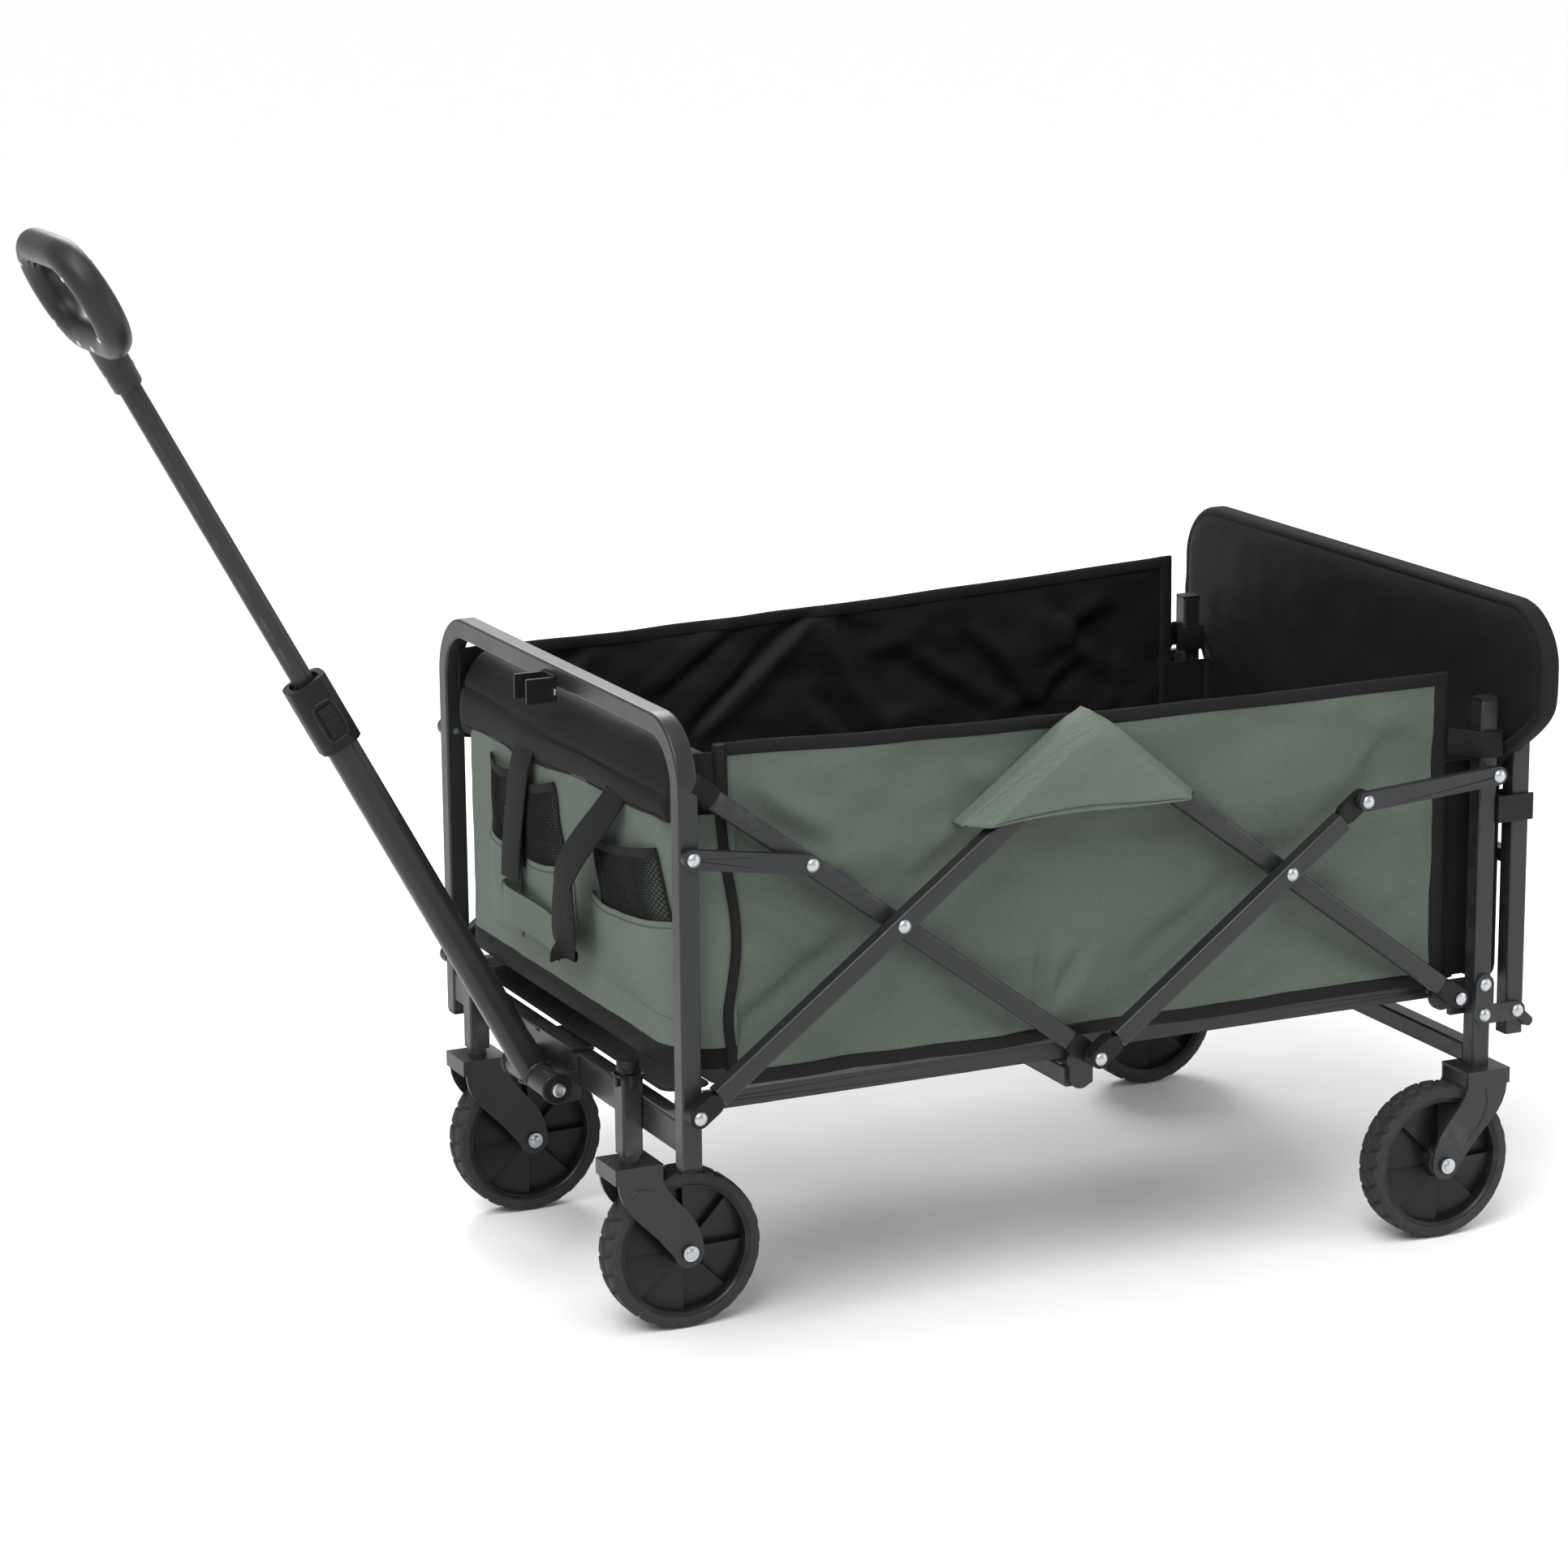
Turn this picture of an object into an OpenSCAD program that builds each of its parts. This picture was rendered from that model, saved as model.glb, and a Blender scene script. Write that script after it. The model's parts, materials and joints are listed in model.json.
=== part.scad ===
// Folding wagon with a telescopic pull handle, swivelling front casters and a drop-down tailgate.
// Millimetres. +Z is up, the handle end points to -X and the tailgate end to +X.
// The origin is on the ground, under the middle of the whole length with the handle leaning forward.
// Everything is drawn for the right side, which is +Y, and mirrored to the left side.

/* [Frame] */
// Half of the overall width across the upright posts
half_w = 287.5; // [280:1:295]
// Side of the square steel tube of the posts
tube = 19; // [18:0.5:20]
// Half of the distance between the pivots of a folding arm pair along X
arm_reach = 200; // [198:0.5:200]
// Half of the height between the pivots of a folding arm pair
arm_rise = 150; // [148:0.5:151]
// Height of the lower arm pivots above the ground
pivot_z = 233; // [232:0.5:234]
// Top of the front hoop above the ground
hoop_top = 584; // [580:1:590]
// Top of the rear posts above the ground
rear_post_top = 520; // [510:1:524]
// Top of the tailgate panel above the ground
gate_top = 612; // [605:1:620]

/* [Basket] */
// Top edge of the fabric side walls above the ground
basket_top = 552; // [548:1:554]
// Thickness of the fabric walls
wall_t = 4; // [3:0.5:5]

/* [Wheels] */
// Diameter over the tread
wheel_d = 150; // [146:1:151]
// Width of the tread
tread_w = 32; // [28:1:34]
// Number of spokes in a wheel
spokes = 8; // [6:1:10]

/* [Handle] */
// Lean of the handle from upright, towards the front
handle_lean = 28.5; // [20:0.5:40]
// Length of the lower handle tube from the pivot
lower_tube_len = 430; // [400:5:440]
// Distance from the pivot to the top of the inner tube
inner_tube_top = 765; // [720:5:800]

/* [Hidden] */
$fn = 48;
steel = "#35373a";
plastic = "#1d1e20";
silver = "#c4c8cc";
sage = "#6c7a6a";
black_cloth = "#18191b";
rubber = "#2a2d30";

pin_r = 3;
bore_r = pin_r + 0.08;
head_r = 6;
head_h = 2.4;
corner = 2.5;
arm_w = 18;
arm_t = 16;
arm_end = 26;
link_arm_end = 29;
post_in = half_w - tube;
inner_y = post_in + 2;
outer_y = half_w + 1;
link_t = 8;
rear_link_y = outer_y + 9;
arm_angle = atan2(arm_rise, arm_reach);
front_x = -2 * arm_reach;
rear_pivot_x = 2 * arm_reach;
rear_x = rear_pivot_x + 24;
top_pivot_z = pivot_z + 2 * arm_rise;

front_link_x = front_x + 114.4;
front_link_post_z = 465;
front_link_z = pivot_z + (-front_link_x) * tan(arm_angle);
rear_link_x = 280;
rear_link_z = pivot_z + rear_link_x * tan(arm_angle);
rear_link_post_z = 452;
front_arm_len = 462;

post_bottom = 182;
hoop_r = 52.5;
beam_z = 208;
beam_h = 30;
beam_d = 20;
beam_x = front_x + 2;

rail_z = 231.3;
rail_h = 16;
rail_t = 12;
rail_inset = 8.5;
rail_len = 381.5;
rail_near = 81.5;
rail_far = 281.5;
rail_tie = 14;
front_rail_y = 246;
rear_rail_y = 230;
floor_z = 233;
floor_t = 5;
floor_half_w = 226;
floor_from = 50;
floor_to = 353;
floor_gap = 3.5;
support_z = floor_z - 26.3;
support_w = 30;
support_h = 20;
bracket_bottom = 212;
wall_out = half_w - tube - 3.5;
wall_in = wall_out - wall_t;
wall_bottom = 248;
wall_front = front_x + 8;
wall_rear = rear_x + 4;
bar_notch_x = front_x + 46;
bar_notch_z = 490;
front_wall_top = 500;

pocket_y = 96;
pocket_w = 130;
pocket_d = 16;
pocket_h = 140;
pocket_z = 300;
pocket_t = 3;

caster_x = front_x - 18;
caster_y = 186;
housing = 20;
housing_bottom = 170;
housing_top = 244;
trail = 48;
wheel_r = wheel_d / 2;
front_hub_x = caster_x + trail;
rear_hub_x = rear_x - 46;
rear_wheel_y = 279;
tyre_t = 11;
rim_r = wheel_r - tyre_t;
rim_t = 3.5;
hub_r = 14;
web_t = 5;
spoke_t = 3;
axle_r = 4;
fork_plate = 3;
fork_in = tread_w / 2 + 4;
fork_top = wheel_d + 10;

gate_x = rear_x + 37;
gate_pivot_z = 215;
gate_foot_z = gate_pivot_z - 24;
gate_bar_z = gate_top - 16;
gate_corner_r = 34;
gate_cross_z = 363;
gate_panel_x0 = gate_x - 21;
gate_panel_x1 = gate_x - 11;
gate_panel_half = 322;
gate_panel_bottom = 244;

handle_x = front_x - 32;
handle_z = 194.5;
barrel_r = 13;
barrel_half = 45.5;
ear_t = 4;
lower_w = 30;
lower_d = 24;
collar_from = 383;
collar_to = 452;
collar_recess = 5;
collar_half_y = lower_d / 2 + 5;
button_w = 14;
button_z = collar_from + 14;
button_h = 30;
button_travel = 2;
inner_w = 20;
inner_d = 16;
inner_from = 345;
grip_r = 13;
grip_bend = 48;
grip_len = 60;
grip_centre = inner_tube_top + 98;

handle_reach = grip_centre + grip_bend + grip_r;
front_end = handle_x - handle_reach * sin(handle_lean) - grip_r * cos(handle_lean) * 0.2;
rear_end = gate_x + 20;
origin_x = -(front_end + rear_end) / 2;

// ---- helpers ----

module place() translate([origin_x, 0, 0]) children();
module left() mirror([0, 1, 0]) children();
module both() for (flip = [0, 1]) mirror([0, flip, 0]) children();
module along_y(y0, y1) translate([0, y1, 0]) rotate([90, 0, 0]) linear_extrude(y1 - y0) children();
module pin(x, z, y0, y1, r = pin_r)
    translate([x, y0, z]) rotate([-90, 0, 0]) cylinder(h = y1 - y0, r = r);

module tube_profile(w = tube, d = tube, r = corner) {
    square([w - 2 * r, d], center = true);
    square([w, d - 2 * r], center = true);
    for (x = [-1, 1], y = [-1, 1]) translate([x * (w / 2 - r), y * (d / 2 - r)]) circle(r);
}

// A bar from p to q with round ends of diameter w
module stadium(p, q, w) {
    a = atan2(q[1] - p[1], q[0] - p[0]);
    polygon([for (end = [0, 1], i = [0 : 12])
        (end == 0 ? p : q) + w / 2 * [cos(a + 90 + 180 * end + i * 15), sin(a + 90 + 180 * end + i * 15)]]);
}

// A bar from p to q in the XZ plane, square at both ends
module flat_bar(p, q, w) {
    run = q - p;
    translate(p) rotate(atan2(run[1], run[0])) translate([0, -w / 2]) square([norm(run), w]);
}

// A tube profile swept from p to q in the XZ plane, centred on y
module arm_tube(p, q, y, w = arm_w, t = arm_t) {
    run = q - p;
    translate([p[0], y, p[1]]) rotate([0, 90 - atan2(run[1], run[0]), 0])
        linear_extrude(norm(run)) tube_profile(w, t);
}

// A domed rivet along +Y, from y0 to its head at y1
module rivet(x, z, y0, y1) {
    pin(x, z, y0, y1 + 0.1);
    pin(x, z, y1 + 0.1, y1 + 1.3, head_r);
    translate([x, y1 + 1.3, z]) rotate([-90, 0, 0]) cylinder(h = head_h - 1.3, r1 = head_r, r2 = head_r - 2);
}

function point_on(a, len) = [len * cos(a), len * sin(a)];
function bezier(a, b, c, d, n = 8) = [for (i = [0 : n]) let (t = i / n, s = 1 - t)
    s ^ 3 * a + 3 * s ^ 2 * t * b + 3 * s * t ^ 2 * c + t ^ 3 * d];

front_foot = [front_x, pivot_z];
centre_foot = [0, pivot_z];
top_joint = [0, top_pivot_z];
rear_foot = [rear_pivot_x, pivot_z];
front_cross = [-arm_reach, pivot_z + arm_rise];
rear_cross = [arm_reach, pivot_z + arm_rise];
front_arm_tip = centre_foot + point_on(180 - arm_angle, front_arm_len);
rear_link_tip = [rear_link_x, rear_link_z];

// ---- front frame ----

module hoop_half() {
    translate([front_x, post_in + tube / 2, post_bottom])
        linear_extrude(hoop_top - tube / 2 - hoop_r - post_bottom) tube_profile();
    translate([front_x, post_in + tube / 2 - hoop_r, hoop_top - tube / 2 - hoop_r])
        rotate([90, 0, 90]) rotate_extrude(angle = 90, $fn = 64) translate([hoop_r, 0]) tube_profile();
}

module front_hoop() color(steel) place() {
    difference() {
        union() {
            both() hoop_half();
            translate([front_x, 0, hoop_top - tube / 2]) rotate([90, 0, 0])
                linear_extrude(2 * (post_in + tube / 2 - hoop_r), center = true) tube_profile();
        }
        both() {
            pin(front_x, pivot_z, post_in - 1, half_w + 1, bore_r);
            pin(front_x, front_link_post_z, post_in - 1, half_w + 1, bore_r);
        }
    }
}

module front_crossbeam() color(steel) place()
    translate([beam_x, 0, beam_z]) rotate([90, 0, 0])
        linear_extrude(2 * post_in, center = true) tube_profile(beam_d, beam_h);

module front_frame_pins() color(silver) place() both() {
    rivet(front_x, pivot_z, post_in + 0.5, outer_y + arm_t);
    rivet(front_x, front_link_post_z, post_in + 0.5, outer_y + link_t);
    pin(front_x + rail_inset, rail_z, front_rail_y - 3, post_in);
}

module caster_housings() color(steel) place() both() difference() {
    translate([caster_x, caster_y, housing_bottom])
        linear_extrude(housing_top - housing_bottom) tube_profile(housing, housing);
    translate([caster_x, caster_y, housing_bottom - 1]) cylinder(h = 46, r = 6.08);
}

// Caps on the caster housings, with side clips, and plugs in the feet of the posts
module front_tube_caps() color(plastic) place() both() {
    translate([caster_x, caster_y, housing_top]) {
        linear_extrude(2) tube_profile(housing + 5, housing + 5, 3);
        translate([0, 0, 2]) linear_extrude(5) tube_profile(housing - 2, housing - 2);
        for (side = [-1, 1]) translate([0, side * (housing / 2 + 1.3), -4])
            linear_extrude(4) square([6, 2.2], center = true);
    }
    translate([front_x, post_in + tube / 2, post_bottom - 3])
        linear_extrude(3) tube_profile(tube - 1, tube - 1);
}

module bracket_ear() difference() {
    union() {
        translate([handle_x, 0, handle_z]) rotate([-90, 0, 0]) cylinder(h = ear_t, r = 14);
        translate([handle_x, 0, handle_z - 14]) cube([beam_x - beam_d / 2 - 4 - handle_x, ear_t, 28]);
    }
    translate([0, -1, 0]) pin(handle_x, handle_z, 0, ear_t + 2, axle_r + 0.08);
}

module handle_bracket() color(steel) place() {
    front_face = beam_x - beam_d / 2;
    plate_top = beam_z + beam_h / 2;
    translate([front_face - 4, -barrel_half - 1 - ear_t, handle_z - 14])
        cube([4, 2 * (barrel_half + 1 + ear_t), plate_top - handle_z + 14]);
    translate([front_face - 4, -38, plate_top]) cube([beam_d + 4, 76, 4]);
    both() translate([0, barrel_half + 1, 0]) bracket_ear();
}

module handle_bolt() color(silver) place() {
    reach = barrel_half + 1 + ear_t;
    pin(handle_x, handle_z, -reach - 0.2, reach + 0.2, axle_r);
    both() {
        pin(handle_x, handle_z, reach + 0.2, reach + 1.6, 8);
        pin(handle_x, handle_z, reach + 1.6, reach + 5, 6);
    }
}

module handle_clip() color(plastic) place() {
    face = front_x - tube / 2;
    jaw = lower_d / 2 + 0.8;
    low = handle_z + collar_from - 26;
    translate([face - 3, -jaw - 3, low]) cube([3, 2 * (jaw + 3), hoop_top - 8 - low]);
    both() translate([face - 30, jaw, low]) cube([27, 3, 23]);
}

module front_wall() color(sage) place()
    translate([front_x - wall_t, -wall_in, floor_z]) cube([wall_t, 2 * wall_in, front_wall_top - floor_z]);

// Open-topped pouches on the outside of the front wall
module front_pockets() color(sage) place() both() difference() {
    translate([front_x - wall_t - pocket_d, pocket_y, pocket_z]) cube([pocket_d, pocket_w, pocket_h]);
    translate([front_x - wall_t - pocket_d + pocket_t, pocket_y + pocket_t, pocket_z + pocket_t])
        cube([pocket_d - 2 * pocket_t, pocket_w - 2 * pocket_t, pocket_h]);
}

// The upper front corner is cut back to clear the bar inside the padded sleeve
module side_wall() along_y(wall_in, wall_out) polygon([
    [wall_front, wall_bottom], [wall_rear, wall_bottom], [wall_rear, basket_top],
    [bar_notch_x, basket_top], [bar_notch_x, bar_notch_z], [wall_front, bar_notch_z]
]);
module side_wall_right() color(sage) place() side_wall();
module side_wall_left() color(sage) place() left() side_wall();

module front_floor_edge() color(black_cloth) place()
    translate([front_x, -floor_half_w, floor_z]) cube([floor_from - 2, 2 * floor_half_w, floor_t]);

// ---- folding arms ----

module front_outer_arms() color(steel) place() both() difference() {
    run = point_on(arm_angle, arm_end);
    arm_tube(front_foot + run, top_joint - run, outer_y + arm_t / 2);
    pin(front_cross[0], front_cross[1], outer_y - 1, outer_y + arm_t + 1, bore_r);
}

// Plastic end piece: a rounded tongue of length len around a pivot
module arm_end_piece(p, angle, y0, y1, len = arm_end) difference() {
    along_y(y0, y1) stadium(p, p + point_on(angle, len - arm_w / 2), arm_w + 1);
    pin(p[0], p[1], y0 - 1, y1 + 1, bore_r);
    along_y(y0 - 1, y1 + 1) flat_bar(p + point_on(angle, len), p + point_on(angle, len + 20), arm_w + 4);
}

module front_outer_arm_ends() color(plastic) place() both() {
    arm_end_piece(front_foot, arm_angle, outer_y, outer_y + arm_t);
    arm_end_piece(top_joint, arm_angle + 180, outer_y, outer_y + arm_t);
}

module front_outer_arm_rivets() color(silver) place() both() {
    for (p = [front_cross, top_joint]) {
        rivet(p[0], p[1], inner_y - 0.2, outer_y + arm_t);
        pin(p[0], p[1], inner_y - 1.8, inner_y - 0.2, head_r);
    }
}

// One bent tube: an arm on each side, joined by the bar inside the padded sleeve
module front_inner_arms() color(steel) place() {
    both() difference() {
        arm_tube(centre_foot + point_on(180 - arm_angle, arm_end),
            front_arm_tip + point_on(180 - arm_angle, arm_w / 2), inner_y + arm_t / 2);
        pin(front_cross[0], front_cross[1], inner_y - 1, inner_y + arm_t + 1, bore_r);
    }
    translate([front_arm_tip[0], 0, front_arm_tip[1]]) rotate([90, 0, 0])
        cylinder(h = 2 * inner_y, r = arm_w / 2, center = true);
}

module front_inner_arm_ends() color(plastic) place() both()
    arm_end_piece(centre_foot, 180 - arm_angle, inner_y, inner_y + arm_t);

module front_sleeve() color(black_cloth) place()
    translate([front_arm_tip[0], 0, front_arm_tip[1]]) rotate([90, 0, 0]) difference() {
        cylinder(h = 2 * (inner_y - 6), r = 13, center = true);
        cylinder(h = 2 * inner_y, r = arm_w / 2 + 0.05, center = true);
    }

module centre_rivets() color(silver) place() both() {
    rivet(0, pivot_z, post_in - 7, outer_y + arm_t);
    pin(0, pivot_z, post_in - 8.6, post_in - 7, head_r);
}

module rear_inner_arms() color(steel) place() both() difference() {
    run = point_on(-arm_angle, arm_end);
    arm_tube(top_joint + run, rear_foot - run, inner_y + arm_t / 2);
    pin(rear_cross[0], rear_cross[1], inner_y - 1, inner_y + arm_t + 1, bore_r);
}

module rear_inner_arm_ends() color(plastic) place() both() {
    arm_end_piece(top_joint, -arm_angle, inner_y, inner_y + arm_t);
    arm_end_piece(rear_foot, 180 - arm_angle, inner_y, inner_y + arm_t);
}

module rear_inner_arm_rivets() color(silver) place() both() {
    rivet(rear_cross[0], rear_cross[1], inner_y - 0.2, outer_y + arm_t);
    pin(rear_cross[0], rear_cross[1], inner_y - 1.8, inner_y - 0.2, head_r);
}

module rear_outer_arms() color(steel) place() both() difference() {
    arm_tube(centre_foot + point_on(arm_angle, arm_end),
        rear_link_tip - point_on(arm_angle, link_arm_end), outer_y + arm_t / 2);
    pin(rear_cross[0], rear_cross[1], outer_y - 1, outer_y + arm_t + 1, bore_r);
}

module rear_outer_arm_ends() color(plastic) place() both() {
    arm_end_piece(centre_foot, arm_angle, outer_y, outer_y + arm_t);
    arm_end_piece(rear_link_tip, arm_angle + 180, outer_y, outer_y + link_t, link_arm_end);
}

module link(p, q, y0) difference() {
    along_y(y0, y0 + link_t) stadium(p, q, arm_w);
    pin(p[0], p[1], y0 - 1, y0 + link_t + 1, bore_r);
}

module front_links() color(steel) place() both()
    link([front_x, front_link_post_z], [front_link_x, front_link_z], outer_y);

module front_link_rivets() color(silver) place() both()
    rivet(front_link_x, front_link_z, outer_y + link_t, outer_y + link_t);

module rear_links() color(steel) place() both()
    link([rear_x, rear_link_post_z], rear_link_tip, rear_link_y);

module rear_link_rivets() color(silver) place() both()
    rivet(rear_link_tip[0], rear_link_tip[1], rear_link_y + link_t, rear_link_y + link_t);

// ---- floor ----

module centre_support() color(steel) place() {
    bar_top = support_z + support_h / 2;
    foot = 20;
    translate([0, 0, support_z]) rotate([90, 0, 0])
        linear_extrude(2 * (post_in - 6), center = true) tube_profile(support_w, support_h);
    both() {
        difference() {
            along_y(post_in - 6, post_in - 1) stadium([0, support_z], centre_foot, 24);
            pin(0, pivot_z, post_in - 7, post_in, bore_r);
        }
        translate([-foot / 2, floor_half_w - 2 * foot, bar_top]) cube([foot, foot, floor_z - bar_top]);
    }
}

module floor_centre() color(black_cloth) place() {
    gap_half = 2 * arm_reach - floor_to - floor_gap;
    translate([-gap_half, -floor_half_w, floor_z]) cube([2 * gap_half, 2 * floor_half_w, floor_t]);
}

// Rails run from a pivot at the end frame to the centre; toward is +1 or -1 along X
module rails(from_x, toward, rail_y) {
    both() difference() {
        along_y(rail_y, rail_y + rail_t)
            stadium([from_x, rail_z], [from_x + toward * rail_len, rail_z], rail_h);
        pin(from_x, rail_z, rail_y - 1, rail_y + rail_t + 1, bore_r);
    }
    for (r = [rail_near, rail_far])
        translate([from_x + toward * r - rail_tie / 2, -rail_y, floor_z - rail_tie])
            cube([rail_tie, 2 * rail_y, rail_tie]);
}

module floor_panel(x0)
    translate([x0, -floor_half_w, floor_z]) cube([floor_to - floor_from, 2 * floor_half_w, floor_t]);
module front_rails() color(steel) place() rails(front_x + rail_inset, 1, front_rail_y);
module rear_rails() color(steel) place() rails(rear_pivot_x - rail_inset, -1, rear_rail_y);
module floor_front() color(black_cloth) place() floor_panel(front_x + floor_from);
module floor_rear() color(black_cloth) place() floor_panel(rear_pivot_x - floor_to);

// ---- rear frame ----

module rear_posts() color(steel) place() {
    both() difference() {
        translate([rear_x, post_in + tube / 2, fork_top + fork_plate])
            linear_extrude(rear_post_top - fork_top - fork_plate) tube_profile();
        for (z = [gate_pivot_z, gate_pivot_z + 30, rear_link_post_z])
            pin(rear_x, z, post_in - 1, half_w + 1, bore_r);
    }
    translate([rear_x, 0, fork_top + fork_plate + tube / 2 + 1]) rotate([90, 0, 0])
        linear_extrude(2 * post_in + 1, center = true) tube_profile();
}

module rear_post_caps() color(plastic) place() both()
    translate([rear_x, post_in + tube / 2, rear_post_top]) linear_extrude(3) tube_profile();

module rear_frame_pins() color(silver) place() both() {
    rivet(rear_x, rear_link_post_z, post_in + 0.5, rear_link_y + link_t);
    pin(rear_x, rear_link_post_z, half_w + 0.2, rear_link_y - 0.4, head_r);
    for (z = [gate_pivot_z, gate_pivot_z + 30]) rivet(rear_x, z, post_in + 0.5, half_w + 4.2);
    rivet(gate_x, gate_pivot_z, post_in + 0.5, half_w + 4.2);
    rivet(rear_pivot_x, pivot_z, post_in - 5.5, inner_y + arm_t + 0.2);
    pin(rear_pivot_x - rail_inset, rail_z, rear_rail_y - 3, post_in - 6);
}

module rear_arm_brackets() color(steel) place() both() difference() {
    along_y(post_in - 6, post_in) {
        stadium([rear_pivot_x - rail_inset, rail_z], rear_foot, 26);
        translate([rear_pivot_x, bracket_bottom]) square([rear_x + 8 - rear_pivot_x, 34]);
    }
    pin(rear_pivot_x, pivot_z, post_in - 7, post_in + 1, bore_r);
}

// Fork side plate: sweeps from the top plate to the axle; toward is the side the hub lies on
function fork_outline(stem_x, hub_x, toward) = let (w = 22 * toward, r = 15)
    concat(
        [[stem_x + w * 1.05, fork_top]],
        bezier([stem_x + w * 1.05, fork_top - 12], [stem_x + w * 1.35, fork_top - 36],
            [hub_x + r * toward * 0.75, wheel_r + 38], [hub_x + r * toward * 0.96, wheel_r + 5]),
        [for (i = [1 : 6]) [hub_x + r * toward * cos(18 - i * 32), wheel_r + r * sin(18 - i * 32)]],
        bezier([hub_x - r * toward * 1.5, wheel_r + 7], [stem_x + w * 0.25, wheel_r + 34],
            [stem_x - w * 0.9, fork_top - 42], [stem_x - w * 0.95, fork_top - 10]),
        [[stem_x - w * 0.95, fork_top]]
    );

module fork(stem_x, hub_x, y, toward) {
    difference() {
        union() {
            for (side = [-1, 1]) {
                y0 = side > 0 ? y + fork_in : y - fork_in - fork_plate;
                along_y(y0, y0 + fork_plate) polygon(fork_outline(stem_x, hub_x, toward));
            }
            translate([stem_x - 23.5, y - fork_in - fork_plate, fork_top])
                cube([47, 2 * (fork_in + fork_plate), fork_plate]);
            lip_x = toward > 0 ? stem_x - 23.5 : stem_x + 20.5;
            translate([lip_x, y - fork_in - fork_plate, fork_top - 12])
                cube([3, 2 * (fork_in + fork_plate), 12]);
        }
        pin(hub_x, wheel_r, y - 40, y + 40, axle_r - 0.08);
    }
    axle(hub_x, y);
}

module axle(hub_x, y) {
    reach = fork_in + fork_plate;
    pin(hub_x, wheel_r, y - reach, y + reach, axle_r);
    for (y0 = [y - reach - 3, y + reach]) pin(hub_x, wheel_r, y0, y0 + 3, 7);
}

module rear_forks() color(steel) place() both() fork(rear_x, rear_hub_x, rear_wheel_y, -1);

module gate_hinge_plates() color(steel) place() both() difference() {
    union() {
        along_y(half_w, half_w + 4) {
            stadium([rear_x, gate_pivot_z], [rear_x, gate_pivot_z + 30], 20);
            stadium([rear_x, gate_pivot_z], [gate_x, gate_pivot_z], 18);
            stadium([gate_x, gate_pivot_z], [gate_x + 13, gate_pivot_z - 12], 10);
        }
        translate([gate_x + 10, post_in, gate_pivot_z - 17]) cube([8, tube + 0.5, 4.5]);
    }
    for (p = [[rear_x, gate_pivot_z], [rear_x, gate_pivot_z + 30], [gate_x, gate_pivot_z]])
        pin(p[0], p[1], half_w - 1, half_w + 5, bore_r);
}

module gate_clips() color(plastic) place() both() {
    low = 402;
    translate([rear_x + tube / 2, post_in - 4, low]) cube([5, tube + 8, 26]);
    for (y = [post_in - 4, half_w + 1])
        translate([rear_x + tube / 2 + 5, y, low]) cube([gate_x - rear_x - 3, 3, 26]);
}

module rear_floor_edge() color(black_cloth) place()
    translate([rear_pivot_x - floor_from + 2, -floor_half_w, floor_z])
        cube([gate_panel_x0 - 4 - rear_pivot_x + floor_from - 2, 2 * floor_half_w, floor_t]);

// ---- tailgate ----

module gate_half() {
    bend = gate_bar_z - gate_corner_r;
    translate([gate_x, post_in + tube / 2, gate_foot_z]) linear_extrude(bend - gate_foot_z) tube_profile();
    translate([gate_x, post_in + tube / 2 - gate_corner_r, bend])
        rotate([90, 0, 90]) rotate_extrude(angle = 90) translate([gate_corner_r, 0]) tube_profile();
}

module gate_frame() color(steel) place() difference() {
    union() {
        both() gate_half();
        translate([gate_x, 0, gate_bar_z]) rotate([90, 0, 0])
            linear_extrude(2 * (post_in + tube / 2 - gate_corner_r), center = true) tube_profile();
        translate([gate_x, 0, gate_cross_z]) rotate([90, 0, 0])
            linear_extrude(2 * post_in + 1, center = true) tube_profile(14, 14);
    }
    both() pin(gate_x, gate_pivot_z, post_in - 1, half_w + 1, bore_r);
}

// Padded panel: wide at the top with rounded corners, tapering to fit between the legs
module gate_panel_half() {
    inside = post_in - 7;
    points = concat(
        [[0, gate_panel_bottom], [inside, gate_panel_bottom], [inside, 440]],
        bezier([inside + 14, 446], [inside + 40, 462], [gate_panel_half, 500], [gate_panel_half, 540]),
        bezier([gate_panel_half, 552], [gate_panel_half, 592], [gate_panel_half - 20, gate_top],
            [gate_panel_half - 62, gate_top]),
        [[0, gate_top]]
    );
    polygon(points);
}

module gate_panel() color(black_cloth) place()
    translate([gate_panel_x0, 0, 0]) rotate([90, 0, 90]) linear_extrude(gate_panel_x1 - gate_panel_x0) {
        gate_panel_half();
        mirror([1, 0, 0]) gate_panel_half();
    }

// ---- casters and wheels ----

module caster_fork_right() color(steel) place() {
    fork(caster_x, front_hub_x, caster_y, 1);
    translate([caster_x, caster_y, fork_top + fork_plate]) {
        cylinder(h = housing_bottom - fork_top - fork_plate - 0.3, r = 9);
        cylinder(h = 40, r = 6);
    }
}
module caster_fork_left() left() caster_fork_right();

module at_wheel(x, y) place() translate([x, y, wheel_r]) rotate([90, 0, 0]) children();

// Moulded wheel: hub, closed web with flat spokes on both sides, and the band under the tyre
module rim(x, y) color(plastic) at_wheel(x, y) {
    half = tread_w / 2;
    rotate_extrude($fn = 96) translate([rim_r - rim_t, -half + 3]) square([rim_t, 2 * half - 6]);
    difference() {
        union() {
            cylinder(h = 2 * half + 2, r = hub_r, center = true);
            cylinder(h = web_t, r = rim_r - rim_t + 0.3, center = true);
        }
        cylinder(h = 2 * half + 4, r = axle_r + 0.08, center = true);
    }
    for (i = [0 : spokes - 1]) rotate(i * 360 / spokes)
        translate([hub_r - 1, -spoke_t / 2, -half + 5])
            cube([rim_r - rim_t - hub_r + 1.3, spoke_t, 2 * half - 10]);
}

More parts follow.
